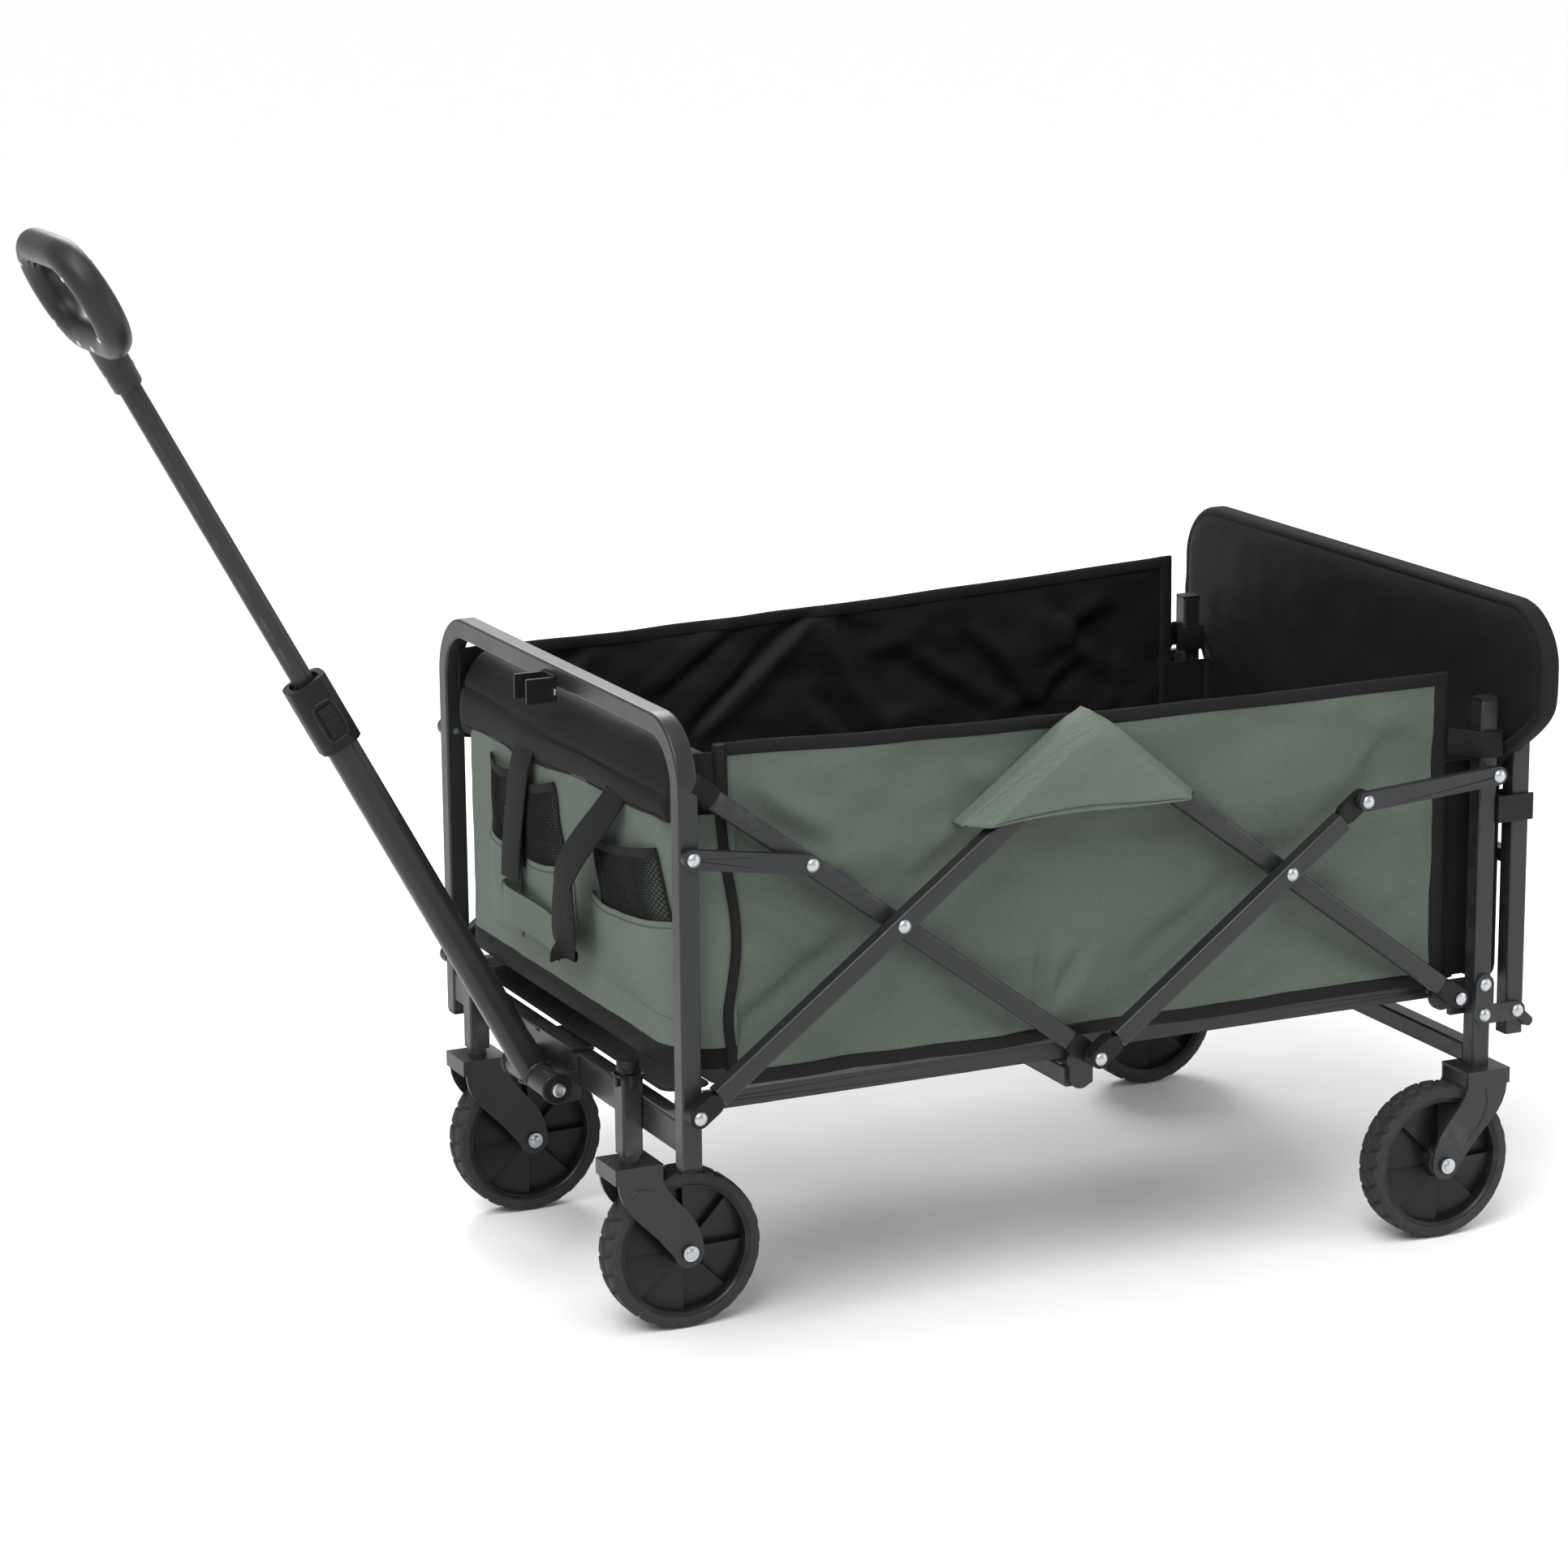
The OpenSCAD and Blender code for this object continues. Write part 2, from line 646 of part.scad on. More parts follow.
module tyre(x, y) color(rubber) at_wheel(x, y) {
    half = tread_w / 2;
    rotate_extrude($fn = 96) polygon([
        [rim_r, -half + 1], [rim_r, half - 1], [rim_r + 2, half], [wheel_r - 3, half],
        [wheel_r, half - 4], [wheel_r, -half + 4], [wheel_r - 3, -half], [rim_r + 2, -half]
    ]);
}

module rim_front_right() rim(front_hub_x, caster_y);
module rim_front_left() left() rim_front_right();
module rim_rear_right() rim(rear_hub_x, rear_wheel_y);
module rim_rear_left() left() rim_rear_right();
module tyre_front_right() tyre(front_hub_x, caster_y);
module tyre_front_left() left() tyre_front_right();
module tyre_rear_right() tyre(rear_hub_x, rear_wheel_y);
module tyre_rear_left() left() tyre_rear_right();

// ---- handle: drawn upright above its pivot, then leaned forward ----

module lean() place() translate([handle_x, 0, handle_z]) rotate([0, -handle_lean, 0]) children();

module handle_tube() color(steel) lean() difference() {
    union() {
        rotate([90, 0, 0]) cylinder(h = 2 * barrel_half, r = barrel_r, center = true);
        linear_extrude(lower_tube_len) tube_profile(lower_w, lower_d, 10);
    }
    rotate([90, 0, 0]) cylinder(h = 2 * barrel_half + 2, r = axle_r + 0.08, center = true);
    translate([0, 0, 24]) linear_extrude(lower_tube_len) tube_profile(inner_w + 0.6, inner_d + 0.6, 7.3);
}

// The button sits in a pocket on the collar's left face and is pressed inwards, along +Y
module handle_collar() color(plastic) lean() difference() {
    translate([0, 0, collar_from]) linear_extrude(collar_to - collar_from)
        tube_profile(lower_w + 10, 2 * collar_half_y, 12);
    translate([0, 0, collar_from - 1]) linear_extrude(lower_tube_len - collar_from + 1.2)
        tube_profile(lower_w + 0.1, lower_d + 0.1, 10);
    translate([0, 0, collar_from]) linear_extrude(80) tube_profile(inner_w + 0.6, inner_d + 0.6, 7.3);
    translate([0, 0, collar_to - collar_recess]) linear_extrude(collar_recess + 1)
        tube_profile(inner_w + 8, inner_d + 8, 9);
    translate([-button_w / 2 - 0.3, -collar_half_y - 1, button_z - 0.3])
        cube([button_w + 0.6, 5.4, button_h + 0.6]);
}

module collar_button() color(plastic) lean()
    translate([-button_w / 2, -collar_half_y - button_travel, button_z]) {
        cube([button_w, 4, button_h]);
        for (i = [0 : 4]) translate([2, -0.6, 5 + i * 4.6]) cube([button_w - 4, 0.7, 1.6]);
    }

module handle_slide() color(steel) lean()
    translate([0, 0, inner_from]) linear_extrude(inner_tube_top - inner_from)
        tube_profile(inner_w, inner_d, 7);

module handle_grip() color(plastic) lean() {
    translate([0, 0, inner_tube_top]) cylinder(h = 40, r1 = 14, r2 = 17);
    translate([0, 0, grip_centre]) {
        for (end = [90, -90]) rotate([end, 0, 0]) translate([0, 0, grip_len / 2]) rotate([90, 0, 90])
            rotate_extrude(angle = 180) translate([grip_bend, 0]) circle(grip_r);
        for (side = [-1, 1]) translate([0, grip_len / 2, side * grip_bend]) rotate([90, 0, 0])
            cylinder(h = grip_len, r = grip_r);
    }
}

front_hoop();
front_crossbeam();
front_frame_pins();
caster_housings();
front_tube_caps();
handle_bracket();
handle_bolt();
handle_clip();
front_wall();
front_pockets();
side_wall_left();
side_wall_right();
front_floor_edge();
front_outer_arms();
front_outer_arm_ends();
front_outer_arm_rivets();
front_inner_arms();
front_inner_arm_ends();
front_sleeve();
centre_rivets();
rear_inner_arms();
rear_inner_arm_ends();
rear_inner_arm_rivets();
rear_outer_arms();
rear_outer_arm_ends();
front_links();
front_link_rivets();
rear_links();
rear_link_rivets();
centre_support();
floor_centre();
front_rails();
floor_front();
rear_rails();
floor_rear();
rear_posts();
rear_post_caps();
rear_frame_pins();
rear_arm_brackets();
rear_forks();
gate_hinge_plates();
gate_clips();
rear_floor_edge();
gate_frame();
gate_panel();
caster_fork_left();
caster_fork_right();
rim_front_left();
rim_front_right();
rim_rear_left();
rim_rear_right();
tyre_front_left();
tyre_front_right();
tyre_rear_left();
tyre_rear_right();
handle_tube();
handle_collar();
collar_button();
handle_slide();
handle_grip();
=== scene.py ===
import json
from math import sin, cos, pi, radians, sqrt, hypot, exp

import bpy
import bmesh
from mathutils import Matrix, Quaternion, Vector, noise


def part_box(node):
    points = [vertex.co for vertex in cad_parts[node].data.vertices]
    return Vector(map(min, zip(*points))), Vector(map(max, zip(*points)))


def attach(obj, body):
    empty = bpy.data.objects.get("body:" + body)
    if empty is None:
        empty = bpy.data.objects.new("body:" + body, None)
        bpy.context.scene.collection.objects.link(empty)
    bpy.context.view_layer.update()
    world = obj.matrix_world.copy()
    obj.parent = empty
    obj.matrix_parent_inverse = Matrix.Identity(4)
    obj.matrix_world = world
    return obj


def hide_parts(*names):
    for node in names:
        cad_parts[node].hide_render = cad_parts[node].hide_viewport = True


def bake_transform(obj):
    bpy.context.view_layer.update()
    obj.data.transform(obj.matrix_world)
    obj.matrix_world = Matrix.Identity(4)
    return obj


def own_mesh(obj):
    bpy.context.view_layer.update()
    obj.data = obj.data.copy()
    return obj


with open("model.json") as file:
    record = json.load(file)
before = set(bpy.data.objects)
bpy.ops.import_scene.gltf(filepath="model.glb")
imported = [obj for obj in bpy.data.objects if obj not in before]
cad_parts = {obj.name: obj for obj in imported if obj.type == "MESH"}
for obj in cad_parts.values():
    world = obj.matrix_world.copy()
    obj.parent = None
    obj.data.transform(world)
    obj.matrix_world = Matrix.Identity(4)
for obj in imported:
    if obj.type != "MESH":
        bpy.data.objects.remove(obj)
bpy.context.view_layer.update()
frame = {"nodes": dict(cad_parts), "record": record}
print("frame loaded:", len(frame["nodes"]), "CAD nodes")

mm = 0.001


def middle(node):
    low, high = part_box(node)
    return (low + high) / 2


midX = middle("floor_centre").x  # the centre foot, halfway between the end frames


def spot(x, y, z):  # millimetres from the ground point under the centre foot
    return Vector((midX + x * mm, y * mm, z * mm))


def smooth(edge0, edge1, x):
    t = min(1, max(0, (x - edge0) / (edge1 - edge0)))
    return t * t * (3 - 2 * t)


def steps(a, b, n):
    return [a + (b - a) * i / n for i in range(n + 1)]


# camera and lights
cameraFacts = {"place": (-1.7853, -3.8625, 1.4718), "target": (0.0231, 0, 0.4448), "roll": -0.498,
               "lens": 106.81, "sensor": 36}
camera = bpy.data.objects.new("camera", bpy.data.cameras.new("camera"))
bpy.context.scene.collection.objects.link(camera)
camera.location = cameraFacts["place"]
camera.rotation_mode = "QUATERNION"
aim = (Vector(cameraFacts["target"]) - camera.location).to_track_quat("-Z", "Y")
camera.rotation_quaternion = aim @ Quaternion((0, 0, 1), radians(cameraFacts["roll"]))
camera.data.lens = cameraFacts["lens"]
camera.data.sensor_width = cameraFacts["sensor"]
bpy.context.scene.camera = camera

lamps = {
    "fillLamp": {"place": (3.4, -2.2, 1.6), "power": 30, "size": 2.4},
    "backLamp": {"place": (0.8, 3.2, 2.8), "power": 70, "size": 1.8},
    "topLamp": {"place": (-0.4, -0.6, 3.6), "power": 30, "size": 1.6},
}
for name, lamp in lamps.items():
    light = bpy.data.lights.new(name, "AREA")
    light.energy, light.size = lamp["power"], lamp["size"]
    holder = bpy.data.objects.new(name, light)
    holder.location = lamp["place"]
    holder.rotation_mode = "QUATERNION"
    holder.rotation_quaternion = (Vector((0, 0, 0.3)) - holder.location).to_track_quat("-Z", "Y")
    bpy.context.scene.collection.objects.link(holder)
sun = {"from": (-1.6, -1.5, 2.6), "strength": 2.1, "spread": 35}
sunData = bpy.data.lights.new("softSun", "SUN")
sunData.energy, sunData.angle = sun["strength"], radians(sun["spread"])
sunLamp = bpy.data.objects.new("softSun", sunData)
sunLamp.rotation_mode = "QUATERNION"
sunLamp.rotation_quaternion = (-Vector(sun["from"])).to_track_quat("-Z", "Y")
bpy.context.scene.collection.objects.link(sunLamp)
skyStrength = 0.62
world = bpy.data.worlds.new("softWhite")
world.use_nodes = True
world.node_tree.nodes["Background"].inputs["Color"].default_value = (1, 1, 1, 1)
world.node_tree.nodes["Background"].inputs["Strength"].default_value = skyStrength
bpy.context.scene.world = world
bpy.context.scene.view_settings.view_transform = "Standard"


# shader node groups shared by several materials


def newGroup(name, inputs, outputs):
    group = bpy.data.node_groups.new(name, "ShaderNodeTree")
    for label, kind, value in inputs:
        socket = group.interface.new_socket(label, in_out="INPUT", socket_type=kind)
        socket.default_value = value
    for label, kind in outputs:
        group.interface.new_socket(label, in_out="OUTPUT", socket_type=kind)
    return group, group.nodes.new("NodeGroupInput"), group.nodes.new("NodeGroupOutput")


def addNode(tree, kind, settings=None, wires=None):
    node = tree.nodes.new(kind)
    for key, value in (settings or {}).items():
        setattr(node, key, value)
    for key, value in (wires or {}).items():
        if isinstance(value, bpy.types.NodeSocket):
            tree.links.new(value, node.inputs[key])
        else:
            node.inputs[key].default_value = value
    return node


def mathNode(tree, operation, a, b=0.0):
    return addNode(tree, "ShaderNodeMath", {"operation": operation}, {0: a, 1: b}).outputs[0]


def mixColour(tree, share, a, b, blend="MIX"):
    node = addNode(tree, "ShaderNodeMix", {"data_type": "RGBA", "blend_type": blend}, {0: share, 6: a, 7: b})
    return node.outputs[2]


def buildGrain():  # fine bump and mottled colour of a coated, cast or moulded surface
    group, given, out = newGroup(
        "surfaceGrain",
        [("Color", "NodeSocketColor", (0.5, 0.5, 0.5, 1)), ("Scale", "NodeSocketFloat", 600.0),
         ("Mottle", "NodeSocketFloat", 0.2), ("Roughness", "NodeSocketFloat", 0.5)],
        [("Color", "NodeSocketColor"), ("Height", "NodeSocketFloat"), ("Roughness", "NodeSocketFloat")])
    place = addNode(group, "ShaderNodeTexCoord").outputs["Object"]
    fine = addNode(group, "ShaderNodeTexNoise", None,
                   {"Vector": place, "Scale": given.outputs["Scale"], "Detail": 2.0})
    broad = addNode(group, "ShaderNodeTexNoise", None, {"Vector": place, "Scale": 14.0, "Detail": 4.0})
    level = mathNode(group, "SUBTRACT", broad.outputs["Fac"], 0.5)
    shade = mathNode(group, "MULTIPLY_ADD", level, given.outputs["Mottle"])
    shade.node.inputs[2].default_value = 1.0
    tone = addNode(group, "ShaderNodeVectorMath", {"operation": "SCALE"},
                   {0: given.outputs["Color"], "Scale": shade}).outputs[0]
    rough = mathNode(group, "MULTIPLY_ADD", level, 0.25)
    group.links.new(given.outputs["Roughness"], rough.node.inputs[2])
    group.links.new(tone, out.inputs["Color"])
    group.links.new(fine.outputs["Fac"], out.inputs["Height"])
    group.links.new(rough, out.inputs["Roughness"])
    return group


def buildWear():  # lighter rubbed edges
    group, given, out = newGroup(
        "edgeWear",
        [("Color", "NodeSocketColor", (0.5, 0.5, 0.5, 1)),
         ("Worn Color", "NodeSocketColor", (0.7, 0.7, 0.7, 1)), ("Amount", "NodeSocketFloat", 0.4)],
        [("Color", "NodeSocketColor"), ("Mask", "NodeSocketFloat")])
    edge = addNode(group, "ShaderNodeNewGeometry").outputs["Pointiness"]
    place = addNode(group, "ShaderNodeTexCoord").outputs["Object"]
    spots = addNode(group, "ShaderNodeTexNoise", None, {"Vector": place, "Scale": 60.0, "Detail": 5.0})
    ridge = addNode(group, "ShaderNodeMapRange", None,
                    {"Value": edge, "From Min": 0.53, "From Max": 0.62}).outputs["Result"]
    broken = addNode(group, "ShaderNodeMapRange", None,
                     {"Value": spots.outputs["Fac"], "From Min": 0.42, "From Max": 0.62}).outputs["Result"]
    mask = mathNode(group, "MULTIPLY", mathNode(group, "MULTIPLY", ridge, broken), given.outputs["Amount"])
    rubbed = mixColour(group, mask, given.outputs["Color"], given.outputs["Worn Color"])
    group.links.new(rubbed, out.inputs["Color"])
    group.links.new(mask, out.inputs["Mask"])
    return group


def buildWeave():  # plain weave drawn in the flat cut's own metres
    group, given, out = newGroup(
        "clothWeave",
        [("Color", "NodeSocketColor", (0.5, 0.5, 0.5, 1)),
         ("Gap Color", "NodeSocketColor", (0.2, 0.2, 0.2, 1)), ("Across", "NodeSocketFloat", 3000.0),
         ("Along", "NodeSocketFloat", 3000.0),
         ("Contrast", "NodeSocketFloat", 0.4), ("Mottle", "NodeSocketFloat", 0.25)],
        [("Color", "NodeSocketColor"), ("Height", "NodeSocketFloat")])
    cut = addNode(group, "ShaderNodeUVMap", {"uv_map": "flatCut"}).outputs["UV"]
    parts = addNode(group, "ShaderNodeSeparateXYZ", None, {"Vector": cut})
    warp = mathNode(group, "SINE", mathNode(group, "MULTIPLY", parts.outputs["X"], given.outputs["Across"]))
    weft = mathNode(group, "SINE", mathNode(group, "MULTIPLY", parts.outputs["Y"], given.outputs["Along"]))
    thread = mathNode(group, "MULTIPLY_ADD", mathNode(group, "MULTIPLY", warp, weft), 0.5)
    thread.node.inputs[2].default_value = 0.5
    place = addNode(group, "ShaderNodeTexCoord").outputs["Object"]
    slubs = addNode(group, "ShaderNodeTexNoise", None, {"Vector": place, "Scale": 420.0, "Detail": 3.0})
    clouds = addNode(group, "ShaderNodeTexNoise", None, {"Vector": place, "Scale": 9.0, "Detail": 5.0})
    slub, cloud = slubs.outputs["Fac"], clouds.outputs["Fac"]
    gap = mathNode(group, "MULTIPLY", mathNode(group, "SUBTRACT", 1.0, thread), given.outputs["Contrast"])
    colour = mixColour(group, gap, given.outputs["Color"], given.outputs["Gap Color"])
    faded = mathNode(group, "MULTIPLY", mathNode(group, "SUBTRACT", cloud, 0.5), given.outputs["Mottle"])
    fleck = mathNode(group, "MULTIPLY_ADD", slub, 0.3)
    fleck.node.inputs[2].default_value = 0.85
    level = mathNode(group, "ADD", faded, fleck)
    tone = addNode(group, "ShaderNodeVectorMath", {"operation": "SCALE"}, {0: colour, "Scale": level})
    height = mathNode(group, "MULTIPLY_ADD", slub, 0.4)
    group.links.new(thread, height.node.inputs[2])
    group.links.new(tone.outputs[0], out.inputs["Color"])
    group.links.new(height, out.inputs["Height"])
    return group


surfaceGrain, edgeWear, clothWeave = buildGrain(), buildWear(), buildWeave()


def newMaterial(name, settings):
    material = bpy.data.materials.new(name)
    material.use_nodes = True
    shader = material.node_tree.nodes["Principled BSDF"]
    for key, value in settings.items():
        shader.inputs[key].default_value = value
    return material, material.node_tree, shader


def placeGroup(tree, group, values):
    node = tree.nodes.new("ShaderNodeGroup")
    node.node_tree = group
    for key, value in values.items():
        node.inputs[key].default_value = value
    return node


def addBump(tree, shader, height, distance):
    bump = addNode(tree, "ShaderNodeBump", None, {"Height": height, "Distance": distance})
    tree.links.new(bump.outputs["Normal"], shader.inputs["Normal"])


def hardMaterial(name, colour, roughness, scale, mottle, depth, worn=None, amount=0.0, settings=None):
    material, tree, shader = newMaterial(name, settings or {})
    grain = placeGroup(tree, surfaceGrain,
                       {"Color": (*colour, 1), "Scale": scale, "Mottle": mottle, "Roughness": roughness})
    tree.links.new(grain.outputs["Roughness"], shader.inputs["Roughness"])
    if worn:
        wear = placeGroup(tree, edgeWear, {"Worn Color": (*worn, 1), "Amount": amount})
        tree.links.new(grain.outputs["Color"], wear.inputs["Color"])
        tree.links.new(wear.outputs["Color"], shader.inputs["Base Color"])
    else:
        tree.links.new(grain.outputs["Color"], shader.inputs["Base Color"])
    addBump(tree, shader, grain.outputs["Height"], depth)
    return material


def clothMaterial(name, colour, gap, pitch, contrast, mottle, depth, settings):
    material, tree, shader = newMaterial(name, settings)
    across, along = pitch if isinstance(pitch, tuple) else (pitch, pitch)
    weave = placeGroup(tree, clothWeave, {
        "Color": (*colour, 1), "Gap Color": (*gap, 1), "Across": pi / (across * mm),
        "Along": pi / (along * mm), "Contrast": contrast, "Mottle": mottle})
    tree.links.new(weave.outputs["Color"], shader.inputs["Base Color"])
    addBump(tree, shader, weave.outputs["Height"], depth)
    return material


powderCoat = hardMaterial("powderCoat", (0.0145, 0.0154, 0.0168), 0.37, 900.0, 0.25, 0.00006,
                          (0.1, 0.105, 0.11), 0.3, {"Specular IOR Level": 0.42})
blackNylon = hardMaterial("blackNylon", (0.0062, 0.0064, 0.007), 0.47, 700.0, 0.3, 0.00005,
                          (0.05, 0.05, 0.055), 0.3, {"Specular IOR Level": 0.24})
wheelPlastic = hardMaterial("wheelPlastic", (0.008, 0.0082, 0.009), 0.38, 500.0, 0.3, 0.00004,
                            (0.04, 0.04, 0.045), 0.3, {"Specular IOR Level": 0.3})
zincSteel = hardMaterial("zincSteel", (0.5, 0.52, 0.54), 0.33, 1200.0, 0.2, 0.00002,
                         settings={"Metallic": 1.0})
treadRubber = hardMaterial("treadRubber", (0.021, 0.0225, 0.025), 0.7, 420.0, 0.5, 0.00012,
                           (0.08, 0.085, 0.09), 0.5, {"Specular IOR Level": 0.3})
gripRubber = hardMaterial("gripRubber", (0.0145, 0.0155, 0.017), 0.42, 800.0, 0.25, 0.00004,
                          (0.05, 0.05, 0.055), 0.2, {"Specular IOR Level": 0.32})
sageCanvas = clothMaterial("sageCanvas", (0.104, 0.131, 0.106), (0.04, 0.053, 0.042), 1.3, 0.6, 0.22, 0.00025,
                           {"Roughness": 0.7, "Specular IOR Level": 0.25})
sageLight = clothMaterial("sageLight", (0.112, 0.14, 0.114), (0.045, 0.06, 0.047), 1.3, 0.26, 0.22, 0.00025,
                          {"Roughness": 0.7, "Specular IOR Level": 0.25})
blackCanvas = clothMaterial("blackCanvas", (0.0075, 0.0077, 0.0085), (0.003, 0.003, 0.0034), 1.1, 0.6, 0.4,
                            0.00016, {"Roughness": 0.66, "Specular IOR Level": 0.16})
blackWebbing = clothMaterial("blackWebbing", (0.011, 0.0112, 0.012), (0.0025, 0.0025, 0.003), (1.2, 2.2),
                             0.85, 0.3, 0.0005, {"Roughness": 0.75, "Specular IOR Level": 0.2})
netThread = clothMaterial("netThread", (0.008, 0.0082, 0.009), (0.003, 0.003, 0.0034), 0.6, 0.4, 0.3, 0.0001,
                          {"Roughness": 0.6, "Specular IOR Level": 0.2})
darkThread = clothMaterial("darkThread", (0.036, 0.046, 0.037), (0.015, 0.02, 0.016), 0.5, 0.5, 0.2, 0.0001,
                           {"Roughness": 0.7})
paleFloor = hardMaterial("paleFloor", (0.93, 0.93, 0.925), 0.6, 40.0, 0.02, 0.00001)
print("materials ready")

# mesh helpers


def makeObject(name, points, faces, materials, slots=None, cuts=None, crease=38, solid=True):
    mesh = bpy.data.meshes.new(name)
    mesh.from_pydata([tuple(p) for p in points], [], faces)
    for material in materials:
        mesh.materials.append(material)
    if slots:
        mesh.polygons.foreach_set("material_index", slots)
    layer = mesh.uv_layers.new(name="flatCut")
    if cuts:
        flat = []
        for loop in mesh.loops:
            flat.extend(cuts[loop.vertex_index])
        layer.data.foreach_set("uv", flat)
    mesh.validate()
    if solid:
        shell = bmesh.new()
        shell.from_mesh(mesh)
        bmesh.ops.recalc_face_normals(shell, faces=shell.faces)
        shell.to_mesh(mesh)
        shell.free()
    mesh.shade_smooth()
    mesh.set_sharp_from_angle(angle=radians(crease))
    made = bpy.data.objects.new(name, mesh)
    bpy.context.scene.collection.objects.link(made)
    return made


def normalsOf(grid):
    rows, columns = len(grid), len(grid[0])
    found = []
    for j in range(rows):
        line = []
        for i in range(columns):
            a = grid[j][min(i + 1, columns - 1)] - grid[j][max(i - 1, 0)]
            b = grid[min(j + 1, rows - 1)][i] - grid[max(j - 1, 0)][i]
            line.append(a.cross(b).normalized())
        found.append(line)
    return found


def sheetOf(name, us, vs, shape, thick, materials, pick=None, crease=60, puff=None):
    # two faces of cloth over shape(u, v), u and v in millimetres of the flat cut
    grid = [[shape(u, v) for u in us] for v in vs]
    normals = normalsOf(grid)
    rows, columns = len(vs), len(us)
    points, cuts = [], []
    for side in (0.5, -0.5):
        for j in range(rows):
            for i in range(columns):
                grow = thick * mm * side
                if puff:
                    grow = puff(us[i], vs[j], side) * mm
                points.append(grid[j][i] + normals[j][i] * grow)
                cuts.append((us[i] * mm, vs[j] * mm))
    faces, slots = [], []
    half = rows * columns

    def face(corners, u, v, side):
        faces.append(corners)
        slots.append(pick(u, v, side) if pick else 0)

    for j in range(rows - 1):
        for i in range(columns - 1):
            a, b = j * columns + i, j * columns + i + 1
            c, d = b + columns, a + columns
            u, v = (us[i] + us[i + 1]) / 2, (vs[j] + vs[j + 1]) / 2
            face((a, b, c, d), u, v, 1)
            face((half + d, half + c, half + b, half + a), u, v, -1)
    for i in range(columns - 1):
        u, top = (us[i] + us[i + 1]) / 2, (rows - 1) * columns
        face((half + i, half + i + 1, i + 1, i), u, vs[0], 0)
        face((top + i, top + i + 1, half + top + i + 1, half + top + i), u, vs[-1], 0)
    for j in range(rows - 1):
        v, low, high = (vs[j] + vs[j + 1]) / 2, j * columns, (j + 1) * columns
        face((low, high, half + high, half + low), us[0], v, 0)
        end = columns - 1
        face((half + low + end, half + high + end, high + end, low + end), us[-1], v, 0)
    return makeObject(name, points, faces, materials, slots, cuts, crease)


def ringOf(width, thick, corners=2):
    # rounded rectangle around the origin, as (across, out) pairs
    r = min(thick, width) * 0.48
    pairs = []
    for centreA, centreB, start in ((1, 1, 0), (-1, 1, 90), (-1, -1, 180), (1, -1, 270)):
        for k in range(corners + 1):
            angle = radians(start + 90 * k / corners)
            across, out = centreA * (width / 2 - r), centreB * (thick / 2 - r)
            pairs.append((across + r * cos(angle), out + r * sin(angle)))
    return pairs


def sweep(name, path, across, ring, materials, closed=False, vary=None, crease=45):
    # ring is carried along path; across is the direction of its first axis, one vector or one for each point
    points, cuts, faces = [], [], []
    count, size, travelled = len(path), len(ring), 0.0
    for k, p in enumerate(path):
        before = path[(k - 1) % count] if closed or k else p
        after = path[(k + 1) % count] if closed or k < count - 1 else p
        ahead = (after - before).normalized()
        a = (across[k] if isinstance(across, list) else across)
        a = (a - ahead * a.dot(ahead)).normalized()
        b = ahead.cross(a)
        travelled += (p - path[k - 1]).length if k else 0
        around = 0.0
        for n, (s, t) in enumerate(ring):
            f = vary(k / (count - 1), n / size) if vary else 1
            points.append(p + (a * s + b * t) * mm * f)
            around += hypot(s - ring[n - 1][0], t - ring[n - 1][1]) if n else 0
            cuts.append((travelled, around * mm))
    for k in range(count if closed else count - 1):
        nextK = (k + 1) % count
        for n in range(size):
            m = (n + 1) % size
            faces.append((k * size + n, k * size + m, nextK * size + m, nextK * size + n))
    if not closed:
        faces.append(tuple(reversed(range(size))))
        faces.append(tuple((count - 1) * size + n for n in range(size)))
    return makeObject(name, points, faces, materials, None, cuts, crease)


def circle(r, n=16):
    return [(r * cos(2 * pi * k / n), r * sin(2 * pi * k / n)) for k in range(n)]


def between(a, b, c, d, t):  # Catmull-Rom from b to c
    return 0.5 * ((2 * b) + (c - a) * t + (2 * a - 5 * b + 4 * c - d) * t ** 2
                  + (3 * b - a - 3 * c + d) * t ** 3)


def curve(knots, n=8):
    knots = [Vector(k) for k in knots]
    out = []
    for i in range(len(knots) - 1):
        a, b, c, d = knots[max(i - 1, 0)], knots[i], knots[i + 1], knots[min(i + 2, len(knots) - 1)]
        out += [between(a, b, c, d, k / n) for k in range(n)]
    return out + [knots[-1]]


def turned(name, profile, place, axis, materials, n=32, crease=35):
    # profile: (radius, height) pairs in mm, turned about axis through place
    axis = axis.normalized()
    side = axis.orthogonal().normalized()
    other = axis.cross(side)
    points, faces, cuts = [], [], []
    for r, h in profile:
        for k in range(n):
            angle = 2 * pi * k / n
            points.append(place + (side * cos(angle) + other * sin(angle)) * r * mm + axis * h * mm)
            cuts.append((angle * 0.01, h * mm))
    for j in range(len(profile) - 1):
        for k in range(n):
            m = (k + 1) % n
            faces.append((j * n + k, j * n + m, (j + 1) * n + m, (j + 1) * n + k))
    if profile[0] != profile[-1]:
        faces.append(tuple(reversed(range(n))))
        faces.append(tuple((len(profile) - 1) * n + k for k in range(n)))
    return makeObject(name, points, faces, materials, None, cuts, crease)


def joined(name, objects):
    main = objects[0]
    with bpy.context.temp_override(active_object=main, selected_editable_objects=objects, object=main,
                                   selected_objects=objects):
        bpy.ops.object.join()
    main.name = name
    main.data.name = name
    return main


def applyModifiers(obj):
    graph = bpy.context.evaluated_depsgraph_get()
    mesh = bpy.data.meshes.new_from_object(obj.evaluated_get(graph))
    obj.modifiers.clear()
    obj.data = mesh


def ruffle(x, y, z, size):
    return noise.noise(Vector((x, y, z)) / size)


